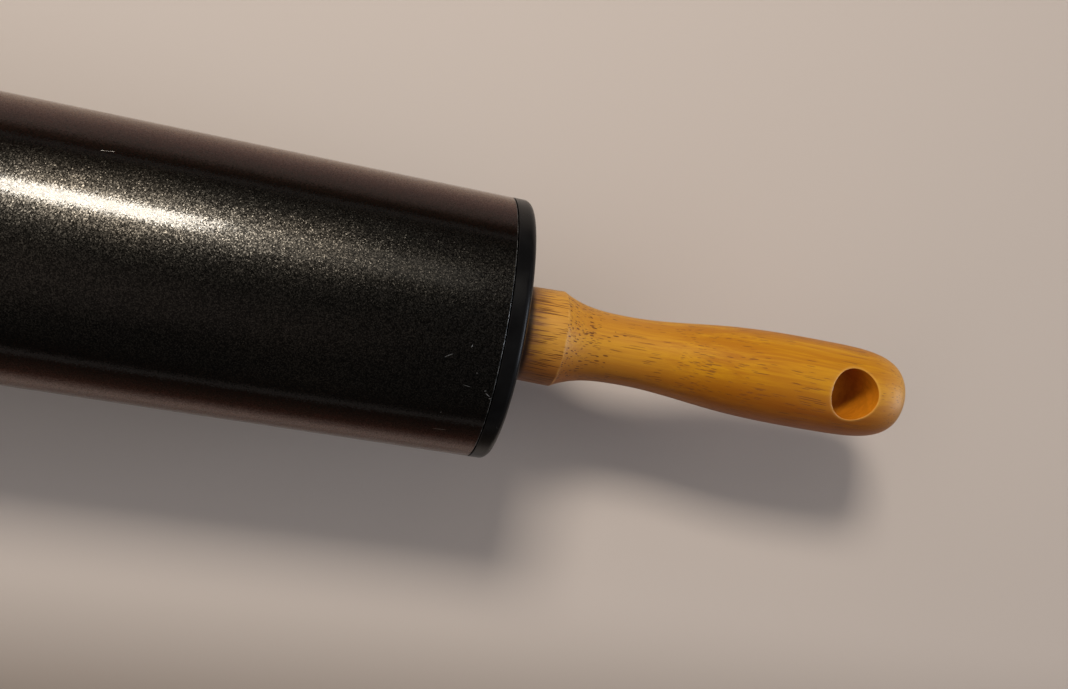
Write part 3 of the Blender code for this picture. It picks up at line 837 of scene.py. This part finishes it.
def cap_outline(cap, barrel, bearing):
    """The end cap's section, from its outer face at 0 inwards along -X."""
    outer = barrel.radius
    seat_radius = bearing.radius + cap.seat_gap
    rim_edge = outer - cap.corner - cap.rim_face
    floor_edge = rim_edge - cap.dish_slope
    lip_bore = seat_radius - cap.lip_overlap
    seat_end = -cap.dish_depth - cap.lip_thickness
    hub_end = seat_end - cap.seat_gap - bearing.width - cap.hub_overhang
    hub_radius = seat_radius + cap.hub_wall
    web_back = -cap.dish_depth - cap.web
    spigot = outer - barrel.wall - cap.seat_gap
    spigot_bore = spigot - cap.spigot_wall
    spigot_end = -cap.rim_width - cap.spigot_length
    return [
        (-cap.rim_width, outer - CAP_LAND),
        (-cap.rim_width + CAP_LAND, outer),
        *arc((-cap.corner, outer - cap.corner), cap.corner, 90, 0, 10),
        *arc((-CAP_DISH_EDGE, rim_edge + CAP_DISH_EDGE), CAP_DISH_EDGE, 0, -75, 3),
        *arc((cap.fillet - cap.dish_depth, floor_edge - cap.fillet), cap.fillet, 90, 180, 6),
        *arc((-cap.dish_depth - CAP_LIP_EDGE, lip_bore + CAP_LIP_EDGE), CAP_LIP_EDGE, 0, -90, 3),
        (seat_end, lip_bore),
        (seat_end, seat_radius),
        (hub_end, seat_radius),
        (hub_end, hub_radius),
        *arc((web_back - cap.fillet, hub_radius + cap.fillet), cap.fillet, 270, 360, 4),
        *arc((web_back - cap.fillet, spigot_bore - cap.fillet), cap.fillet, 0, 90, 4),
        (spigot_end, spigot_bore),
        (spigot_end, spigot - cap.spigot_lead),
        (spigot_end + cap.spigot_lead, spigot),
        (-cap.rim_width, spigot),
    ]


def cap_ribs(cap, barrel, bearing):
    """The radial ribs behind the cap's face."""
    web_back = -cap.dish_depth - cap.web
    inner = bearing.radius + cap.seat_gap + cap.hub_wall - cap.rib_root
    outer = barrel.radius - barrel.wall - cap.seat_gap - cap.spigot_wall + cap.rib_root
    bm = bmesh.new()
    for rib in range(cap.rib_count):
        angle = 2 * math.pi * (rib + 0.5) / cap.rib_count
        outward = Vector((0.0, math.cos(angle), math.sin(angle)))
        across = Vector((0.0, -math.sin(angle), math.cos(angle))) * cap.rib_thickness / 2
        foot = [
            outward * radius + across * turn + Vector((web_back + cap.rib_root, 0.0, 0.0))
            for radius, turn in ((inner, -1), (outer, -1), (outer, 1), (inner, 1))
        ]
        raise_face(bm, foot, -cap.rib_height - cap.rib_root)
    return new_piece("cap_ribs", bm)


class ROLLINGPIN_OT_end_caps(bpy.types.Operator):
    """Mould the two end caps"""

    bl_idname = "rolling_pin.end_caps"
    bl_label = "End Caps"

    def execute(self, context):
        pin = context.scene.rolling_pin
        plastic = plastic_finish(pin.cap)
        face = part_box("end_cap_right")[1].x
        for label, side in ENDS:
            outline = cap_outline(pin.cap, pin.barrel, pin.bearing)
            cap = lathe(f"end_cap_{label}_moulding", outline, pin.cap.facets)
            combine(cap, cap_ribs(pin.cap, pin.barrel, pin.bearing), "UNION")
            seat(cap, "barrel", f"end_cap_{label}", side, face, plastic)
        return {"FINISHED"}


def handle_outline(handle):
    """The turned outline: collar, neck, waist, swelling grip and blunt nose."""
    edge = handle.edge_break
    crest = (handle.collar_length, handle.collar_crest - edge / 2)
    waist = (handle.collar_length + handle.neck_length, handle.waist)
    swell = (waist[0] + handle.swell_length, handle.swell)
    belly = (swell[0] + handle.belly_length, handle.belly)
    points = [
        (0.0, 0.0),
        *arc((edge, handle.collar_root - edge), edge, 180, 93, 4),
        (handle.collar_length * 0.5, (handle.collar_root + handle.collar_crest) / 2),
        (handle.collar_length - edge, handle.collar_crest - edge / 10),
        (handle.collar_length - edge / 2, handle.collar_crest - edge / 8),
        crest,
    ]
    points += hermite(crest, waist, handle.neck_slope, 0.0, 22)
    points += hermite(waist, swell, 0.0, handle.swell_slope, 20)
    points += hermite(swell, belly, handle.swell_slope, 0.0, 16)
    nose_steps = 40
    for step in range(1, nose_steps + 1):
        angle = math.pi / 2 * step / nose_steps
        along = belly[0] + handle.nose_length * math.sin(angle) ** (2 / handle.nose_bluntness)
        radius = handle.belly * max(math.cos(angle), 0.0) ** (2 / handle.nose_bluntness)
        points.append((along, radius if step < nose_steps else 0.0))
    return points


def radius_at(outline, along):
    """The outline's radius at a distance along it."""
    for (x1, r1), (x2, r2) in zip(outline[1:], outline[2:]):
        if x1 <= along <= x2 and x2 > x1:
            return r1 + (r2 - r1) * (along - x1) / (x2 - x1)
    raise ValueError(f"the handle's outline has no radius at {along}")


def hanging_hole(handle, outline):
    """A drill that flares at both mouths, which leaves the hole's edge rounded all the way round."""
    centre = outline[-1][0] - handle.hole_from_tip
    rim = handle.hole_rim
    steps = 5
    widest = math.radians(75)
    flare = []
    for step in range(steps + 1):
        angle = widest * step / steps
        flare.append((rim * (1 - math.cos(angle)), rim * (1 - math.sin(angle))))
    flare.append((flare[-1][0] + rim * math.sin(widest), flare[-1][1] - rim * math.cos(widest)))
    reach = 2 * handle.belly
    spokes = 144
    bm = bmesh.new()
    rows = []
    for spoke in range(spokes):
        turn = 2 * math.pi * spoke / spokes
        row = []
        for wider, sunk in flare:
            across = handle.hole_radius + wider
            x = centre + across * math.cos(turn)
            y = across * math.sin(turn)
            surface = math.sqrt(radius_at(outline, x) ** 2 - y**2)
            row.append((x, y, surface - sunk))
        row.append((row[-1][0], row[-1][1], reach))
        column = [(x, y, -z) for x, y, z in reversed(row)] + row
        rows.append([bm.verts.new(point) for point in column])
    for here, there in zip(rows, rows[1:] + rows[:1]):
        for low, high in zip(range(len(here)), range(1, len(here))):
            bm.faces.new((here[low], there[low], there[high], here[high]))
    bm.faces.new([row[0] for row in rows])
    bm.faces.new([row[-1] for row in rows])
    return new_piece("hanging_hole", bm)


def insert_bore(axle, cap):
    """The stepped hole in the collar's end for the insert and the axle."""
    gap = cap.seat_gap
    low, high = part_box("threaded_insert_right")
    length = high.x - low.x
    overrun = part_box("axle_rod")[1].x - high.x
    sleeve = axle.insert_radius + axle.barb_height + gap
    shaft = axle.radius + gap
    profile = [
        (-gap, 0.0),
        (-gap, axle.insert_flange_radius + gap),
        (axle.insert_flange + gap, axle.insert_flange_radius + gap),
        (axle.insert_flange + gap, sleeve),
        (length + gap, sleeve),
        (length + gap, shaft),
        (length + overrun + gap, shaft),
        (length + overrun + gap + shaft * DRILL_POINT, 0.0),
    ]
    return lathe("insert_bore", profile, axle.facets, closed=False)


class ROLLINGPIN_OT_handles(bpy.types.Operator):
    """Turn and drill the two wooden handles"""

    bl_idname = "rolling_pin.handles"
    bl_label = "Handles"

    def execute(self, context):
        pin = context.scene.rolling_pin
        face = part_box("handle_right")[0].x
        for label, side in ENDS:
            outline = handle_outline(pin.handle)
            grip = lathe(f"handle_{label}_turning", outline, pin.handle.facets, closed=False)
            combine(grip, insert_bore(pin.axle, pin.cap), "DIFFERENCE")
            combine(grip, hanging_hole(pin.handle, outline), "DIFFERENCE")
            # Each handle is turned from its own part of the wood
            shift = (0.31 * side, 0.017 + 0.011 * side, -0.009)
            grip.data.materials.clear()
            grip.data.materials.append(wood_finish(pin.handle, label, shift))
            grip.data.materials.append(raw_wood_finish(pin.handle, label, shift))
            hole = outline[-1][0] - pin.handle.hole_from_tip
            for polygon in grip.data.polygons:
                spot = polygon.center
                in_hole = math.hypot(spot.x - hole, spot.y) < pin.handle.hole_radius * 1.005
                in_bore = math.hypot(spot.y, spot.z) < pin.handle.waist and polygon.normal.dot(spot) < 0
                polygon.material_index = 1 if in_hole or in_bore else 0
            seat(grip, "handles", f"handle_{label}", side, face, None)
        return {"FINISHED"}


def bearing_radii(pin):
    """The bearing's pitch radius, groove, outer land, inner land and bore."""
    bearing = pin.bearing
    bore = pin.axle.radius + pin.cap.seat_gap
    pitch = (bore + bearing.radius) / 2
    groove = bearing.ball_radius + bearing.race_gap
    outer_land = pitch + bearing.ball_radius - bearing.outer_land
    inner_land = pitch - bearing.ball_radius + bearing.inner_land
    return pitch, groove, outer_land, inner_land, bore


def outer_ring(pin, name):
    """The outer ring, with its groove, shield steps and rounded corners."""
    bearing = pin.bearing
    pitch, groove, land, _, _ = bearing_radii(pin)
    half = bearing.width / 2
    step = half - bearing.shield_step - pin.cap.seat_gap
    step_radius = land + bearing.shield_step
    reach = math.degrees(math.asin((land - pitch) / groove))
    profile = [
        (-half, step_radius),
        (-step, step_radius),
        (-step, land),
        *arc((0.0, pitch), groove, 180 - reach, reach, 16),
        (step, land),
        (step, step_radius),
        (half, step_radius),
        *shoulders(half, bearing.radius, bearing.chamfer, 4),
    ]
    return lathe(name, profile, bearing.facets)


def inner_ring(pin, name):
    """The inner ring on the axle."""
    bearing = pin.bearing
    pitch, groove, _, land, bore = bearing_radii(pin)
    half = bearing.width / 2
    reach = math.degrees(math.asin((pitch - land) / groove))
    profile = [
        (half, bore),
        (half, land),
        *arc((0.0, pitch), groove, 360 - reach, 180 + reach, 16),
        (-half, land),
        (-half, bore),
    ]
    return lathe(name, profile, bearing.facets)


def shield(pin, name):
    """A thin flat shield between the two rings."""
    bearing = pin.bearing
    _, _, outer_land, inner_land, _ = bearing_radii(pin)
    outer = outer_land + bearing.shield_step - pin.cap.seat_gap
    inner = inner_land + pin.cap.seat_gap
    thickness = bearing.shield_thickness
    profile = [(0.0, inner), (thickness, inner), (thickness, outer), (0.0, outer)]
    return lathe(name, profile, bearing.facets)


def ball_directions(bearing):
    """Unit vectors from the axis to each ball."""
    turns = [2 * math.pi * ball / bearing.ball_count for ball in range(bearing.ball_count)]
    return [Vector((0.0, math.sin(turn), -math.cos(turn))) for turn in turns]


def cage(pin, name):
    """The moulded crown cage with its open round pockets."""
    bearing = pin.bearing
    pitch, pocket, _, _, _ = bearing_radii(pin)
    inner = pitch - bearing.cage_thickness / 2
    outer = pitch + bearing.cage_thickness / 2
    back = pocket + bearing.cage_back
    profile = [(-bearing.cage_mouth, inner), (back, inner), (back, outer), (-bearing.cage_mouth, outer)]
    crown = lathe(name, profile, bearing.ball_count * 16)
    bm = bmesh.new()
    for outward in ball_directions(bearing):
        made = bmesh.ops.create_icosphere(bm, subdivisions=4, radius=pocket)
        bmesh.ops.translate(bm, verts=made["verts"], vec=outward * pitch)
    combine(crown, new_piece("cage_pockets", bm), "DIFFERENCE")
    return crown


def build_bearing(pin, label, side, steel, nylon):
    """One ball bearing."""
    place = middle("bearing_outer_ring_right")
    ring = outer_ring(pin, f"outer_ring_{label}")
    seat(ring, "barrel", f"bearing_outer_ring_{label}", side, place, steel)
    ring = inner_ring(pin, f"inner_ring_{label}")
    seat(ring, "handles", f"bearing_inner_ring_{label}", side, place, steel)
    for facing in ("outer", "inner"):
        cover = shield(pin, f"shield_{label}_{facing}")
        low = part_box(f"bearing_shield_right_{facing}")[0].x
        seat(cover, "barrel", f"bearing_shield_{label}_{facing}", side, low, steel)
    body = f"bearing_cage_{label}"
    crown = cage(pin, f"cage_{label}")
    seat(crown, body, f"bearing_cage_{label}", side, place, nylon)
    pitch = bearing_radii(pin)[0]
    for number, outward in enumerate(ball_directions(pin.bearing), start=1):
        bm = bmesh.new()
        bmesh.ops.create_icosphere(bm, subdivisions=4, radius=pin.bearing.ball_radius)
        ball = new_piece(f"ball_{label}_{number}", bm)
        seat(ball, body, f"bearing_ball_{label}_{number}", side, place, steel)
        ball.location += Vector((0.0, side * outward.y, outward.z)) * pitch


class ROLLINGPIN_OT_bearings(bpy.types.Operator):
    """Make the two ball bearings"""

    bl_idname = "rolling_pin.bearings"
    bl_label = "Bearings"

    def execute(self, context):
        pin = context.scene.rolling_pin
        steel = steel_finish("bearing_steel", pin.bearing.steel, 0.14, 7000.0)
        nylon = plain_finish("cage_nylon", pin.bearing.nylon, 0.5, 0.0)
        for label, side in ENDS:
            build_bearing(pin, label, side, steel, nylon)
        return {"FINISHED"}


def axle_radius(axle, along, turn, half, grooves):
    """The axle's radius at a place along and round it: shaft, clip grooves, thread and chamfers."""
    reach = abs(along)
    if grooves[0] < reach < grooves[1]:
        return axle.radius - axle.groove_depth
    into_thread = reach - (half - axle.thread_length)
    cut = 0.0
    if into_thread > 0:
        phase = (along / axle.thread_pitch - turn / (2 * math.pi)) % 1.0
        ramp = min(into_thread / axle.thread_pitch, 1.0)
        cut = axle.thread_depth * ramp * abs(2 * phase - 1)
    return min(axle.radius - cut, axle.radius - axle.chamfer + (half - reach))


def axle_shape(pin):
    """The axle as one closed skin, with its threads cut as true helices."""
    axle = pin.axle
    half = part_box("axle_rod")[1].x
    clip = middle("retaining_clip_right")
    reach = axle.clip_thickness / 2 + pin.cap.seat_gap
    grooves = (clip - reach, clip + reach)
    fine = axle.thread_pitch / 8
    steps = math.ceil(axle.thread_length / fine)
    right = [0.0, *(edge + step for edge in grooves for step in (-GROOVE_STEP, GROOVE_STEP))]
    thread = half - axle.thread_length
    right += [thread + axle.thread_length * step / steps for step in range(steps + 1)]
    stations = [-along for along in reversed(right[1:])] + right
    bm = bmesh.new()
    rings = []
    for along in stations:
        ring = []
        for spoke in range(axle.facets):
            turn = 2 * math.pi * spoke / axle.facets
            radius = axle_radius(axle, along, turn, half, grooves)
            ring.append(bm.verts.new((along, radius * math.sin(turn), -radius * math.cos(turn))))
        rings.append(ring)
    for here, there in zip(rings, rings[1:]):
        for spoke in range(axle.facets):
            after = (spoke + 1) % axle.facets
            bm.faces.new((here[spoke], here[after], there[after], there[spoke]))
    bm.faces.new(rings[0])
    bm.faces.new(rings[-1])
    return new_piece("axle", bm)


def sweep(start, end, radius, steps):
    """Points (angle, radius) along a circle about the axis, both ends included."""
    return [(start + (end - start) * step / steps, radius) for step in range(steps + 1)]


def clip_shape(pin, name):
    """The spring clip: an open ring with three prongs that reach into the axle's groove."""
    axle = pin.axle
    tip = axle.radius - axle.groove_depth + pin.cap.seat_gap
    recess = tip + axle.clip_recess
    prong = axle.clip_prong
    start, end = axle.clip_mouth / 2, 2 * math.pi - axle.clip_mouth / 2
    outline = [
        *sweep(start, end, axle.clip_radius, 64),
        *sweep(end, end - prong, tip, 8),
        *sweep(end - prong, math.pi + prong / 2, recess, 16),
        *sweep(math.pi + prong / 2, math.pi - prong / 2, tip, 8),
        *sweep(math.pi - prong / 2, start + prong, recess, 16),
        *sweep(start + prong, start, tip, 8),
    ]
    bm = bmesh.new()
    back = -axle.clip_thickness / 2
    points = [(back, radius * math.sin(angle), -radius * math.cos(angle)) for angle, radius in outline]
    raise_face(bm, points, axle.clip_thickness)
    return new_piece(name, bm)


def washer_shape(pin, name):
    """The washer, its edges slightly rounded."""
    low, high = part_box("spacer_washer_right")
    half = (high.x - low.x) / 2
    bore = pin.axle.radius + pin.cap.seat_gap
    profile = [(-half, bore), (half, bore), *shoulders(half, pin.axle.washer_radius, WASHER_EDGE, 3)]
    return lathe(name, profile, pin.axle.facets)


def insert_shape(pin, name):
    """The brass insert: flange, sleeve and barbs."""
    axle = pin.axle
    low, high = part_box("threaded_insert_right")
    length = high.x - low.x
    bore = axle.radius + pin.cap.seat_gap
    first = axle.insert_flange
    pitch = (length - first) / axle.barb_count
    edge = FLANGE_EDGE
    barbs = []
    for barb in range(axle.barb_count):
        foot = first + pitch * barb
        barbs += [(foot, axle.insert_radius), (foot + pitch / 4, axle.insert_radius + axle.barb_height)]
    profile = [
        (0.0, bore),
        *arc((edge, axle.insert_flange_radius - edge), edge, 180, 90, 3),
        (first, axle.insert_flange_radius),
        *barbs,
        (length, axle.insert_radius),
        (length, bore),
    ]
    return lathe(name, profile, axle.facets)


class ROLLINGPIN_OT_axle(bpy.types.Operator):
    """Make the axle, its clips and washers, and the handles' inserts"""

    bl_idname = "rolling_pin.axle"
    bl_label = "Axle and Fittings"

    def execute(self, context):
        pin = context.scene.rolling_pin
        steel = steel_finish("axle_steel", pin.axle.steel, 0.30, 5000.0)
        brass = plain_finish("insert_brass", pin.axle.brass, 0.30, 1.0)
        seat(axle_shape(pin), "handles", "axle_rod", 1, 0.0, steel)
        clip_middle = middle("retaining_clip_right")
        washer_middle = middle("spacer_washer_right")
        insert_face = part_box("threaded_insert_right")[0].x
        fittings = (
            ("clip", clip_shape, "retaining_clip", clip_middle, steel, "axle_steel"),
            ("washer", washer_shape, "spacer_washer", washer_middle, steel, "axle_steel"),
            ("insert", insert_shape, "threaded_insert", insert_face, brass, "insert_brass"),
        )
        for label, side in ENDS:
            for name, shape, node, along, finish, slot in fittings:
                made = shape(pin, f"{name}_{label}")
                seat(made, "handles", f"{node}_{label}", side, along, finish)
        return {"FINISHED"}


# Studio


def floor_finish(studio):
    """A matt floor, all but even in tone by the pin, with painted shade that darkens it further out on
    its two long sides.
    """
    material, tree, shader = blank_finish("pale_floor")
    cloud = noise(tree, own_place(tree, 1.3))
    sideways = split(tree, own_place(tree))["Y"]
    front = span(tree, sideways, *FLOOR_SHADE_IN_FRONT)
    back = span(tree, sideways, *FLOOR_SHADE_BEHIND)
    near = blend(tree, cloud, shaded(studio.floor, 0.97), studio.floor)
    paint(tree, shader, {
        # Painted shade: the floor fades to a dark colour in front of and behind the pin.
        "Base Color": blend(tree, plus(tree, front, back), near, studio.painted_floor_shade),
        "Roughness": span(tree, cloud, 0.3, 0.7, 0.85, 0.92),
        "Specular IOR Level": 0.15,
    })
    return material


def area_lamp(name, place, target, width, height, roll, power, tint):
    """A rectangular lamp that faces a point. Its width lies level, but for the roll in degrees."""
    data = bpy.data.lights.new(name, "AREA")
    data.shape = "RECTANGLE"
    data.size = width
    data.size_y = height
    data.energy = power
    data.color = tint
    lamp = bpy.data.objects.new(name, data)
    bpy.context.scene.collection.objects.link(lamp)
    lamp.location = place
    facing = (Vector(target) - Vector(place)).to_track_quat("-Z", "Y")
    lamp.rotation_euler = (facing @ Quaternion((0.0, 0.0, 1.0), math.radians(roll))).to_euler()
    return lamp


def room_light(scene, studio):
    """A dim room with a bright wall beyond each end of the pin, pale where it meets the floor."""
    world = bpy.data.worlds.new("room")
    world.use_nodes = True
    scene.world = world
    tree = world.node_tree
    towards = add(tree, "ShaderNodeTexCoord", {}).outputs["Generated"]
    way = split(tree, towards)
    patch = {0: towards, 1: (-0.20, -0.35, 0.91)}
    off_patch = add(tree, "ShaderNodeVectorMath", patch, operation="DISTANCE").outputs["Value"]
    patched = span(tree, off_patch, 0.50, 0.10)
    ceiling = blend(tree, patched, studio.ceiling, studio.ceiling_patch)
    overhead = blend(tree, span(tree, way["Z"], 0.01, 0.13), studio.horizon, ceiling)
    sideways = span(tree, maths(tree, "ABSOLUTE", way["X"]), 0.50, 0.72)
    wall = blend(tree, span(tree, way["X"], -0.1, 0.1), studio.left_wall, studio.right_wall)
    light = span(tree, way["Y"], -0.6, 0.5, 0.95 * studio.wall_light, 1.35 * studio.wall_light)
    above = times(tree, sideways, span(tree, way["Z"], 0.12, 0.25))
    room = blend(tree, above, overhead, scaled(tree, wall, light))
    across = maths(tree, "ABSOLUTE", maths(tree, "SUBTRACT", way["Y"], 0.02))
    pane = times(tree, span(tree, across, 0.32, 0.24), span(tree, way["Z"], 0.06, 0.10))
    topped = times(tree, pane, span(tree, way["Z"], 0.44, 0.38))
    framed = times(tree, topped, span(tree, way["X"], 0.60, 0.65))
    lit = blend(tree, framed, room, shaded(studio.window, studio.window_light))
    paint(tree, tree.nodes["Background"], {"Color": lit, "Strength": 1.0})


class ROLLINGPIN_OT_studio(bpy.types.Operator):
    """Lay the floor and set up the lamps and the camera"""

    bl_idname = "rolling_pin.studio"
    bl_label = "Studio"

    def execute(self, context):
        scene = context.scene
        studio = scene.rolling_pin.studio
        scene.view_settings.view_transform = "Standard"
        bm = bmesh.new()
        bmesh.ops.create_grid(bm, x_segments=2, y_segments=2, size=studio.floor_size / 2)
        floor = new_piece("floor", bm)
        floor.data.materials.append(floor_finish(studio))
        room_light(scene, studio)
        aim = (0.04, 0.012, AXIS_HEIGHT + 0.029)
        warm = (1.0, 0.92, 0.80)
        key = {"place": (-0.196, 0.741, 0.831), "width": 0.325, "height": 0.216, "roll": -21.0}
        glow = {"place": (0.27, 1.27, 1.61), "width": 0.86, "height": 0.68, "roll": 10.0}
        key_lamp = area_lamp("key_lamp", target=aim, power=studio.key_power, tint=warm, **key)
        key_lamp.data.spread = math.radians(120)
        area_lamp("ceiling_glow", target=aim, power=studio.glow_power, tint=warm, **glow)
        data = bpy.data.cameras.new("camera")
        data.lens = studio.lens
        data.clip_start = 0.01
        camera = bpy.data.objects.new("camera", data)
        scene.collection.objects.link(camera)
        camera.location = Vector(studio.eye) + Vector((0.0, 0.0, AXIS_HEIGHT))
        camera.rotation_euler = Euler(studio.tilt)
        scene.camera = camera
        return {"FINISHED"}


class ROLLINGPIN_PT_panel(bpy.types.Panel):
    """Buttons and settings for the rolling pin"""

    bl_idname = "ROLLINGPIN_PT_panel"
    bl_label = "Rolling Pin"
    bl_space_type = "VIEW_3D"
    bl_region_type = "UI"
    bl_category = "Rolling Pin"

    def draw(self, context):
        for operator, group in STEPS:
            settings = getattr(context.scene.rolling_pin, group)
            box = self.layout.box()
            box.operator(operator)
            for field in settings.bl_rna.properties:
                if field.identifier not in ("name", "rna_type"):
                    box.prop(settings, field.identifier)


STEPS = (
    ("rolling_pin.studio", "studio"),
    ("rolling_pin.barrel", "barrel"),
    ("rolling_pin.end_caps", "cap"),
    ("rolling_pin.handles", "handle"),
    ("rolling_pin.axle", "axle"),
    ("rolling_pin.bearings", "bearing"),
)

CLASSES = (
    BarrelSettings,
    CapSettings,
    HandleSettings,
    BearingSettings,
    AxleSettings,
    StudioSettings,
    RollingPinSettings,
    ROLLINGPIN_OT_barrel,
    ROLLINGPIN_OT_end_caps,
    ROLLINGPIN_OT_handles,
    ROLLINGPIN_OT_bearings,
    ROLLINGPIN_OT_axle,
    ROLLINGPIN_OT_studio,
    ROLLINGPIN_PT_panel,
)


def register():
    """Adds the settings, the operators and the panel."""
    for cls in CLASSES:
        bpy.utils.register_class(cls)
    bpy.types.Scene.rolling_pin = PointerProperty(type=RollingPinSettings)


def unregister():
    """Takes them away again."""
    del bpy.types.Scene.rolling_pin
    for cls in reversed(CLASSES):
        bpy.utils.unregister_class(cls)


def main():
    register()
    bpy.ops.rolling_pin.studio()
    bpy.ops.rolling_pin.barrel()
    bpy.ops.rolling_pin.end_caps()
    bpy.ops.rolling_pin.handles()
    bpy.ops.rolling_pin.axle()
    bpy.ops.rolling_pin.bearings()


if __name__ == "__main__":
    main()
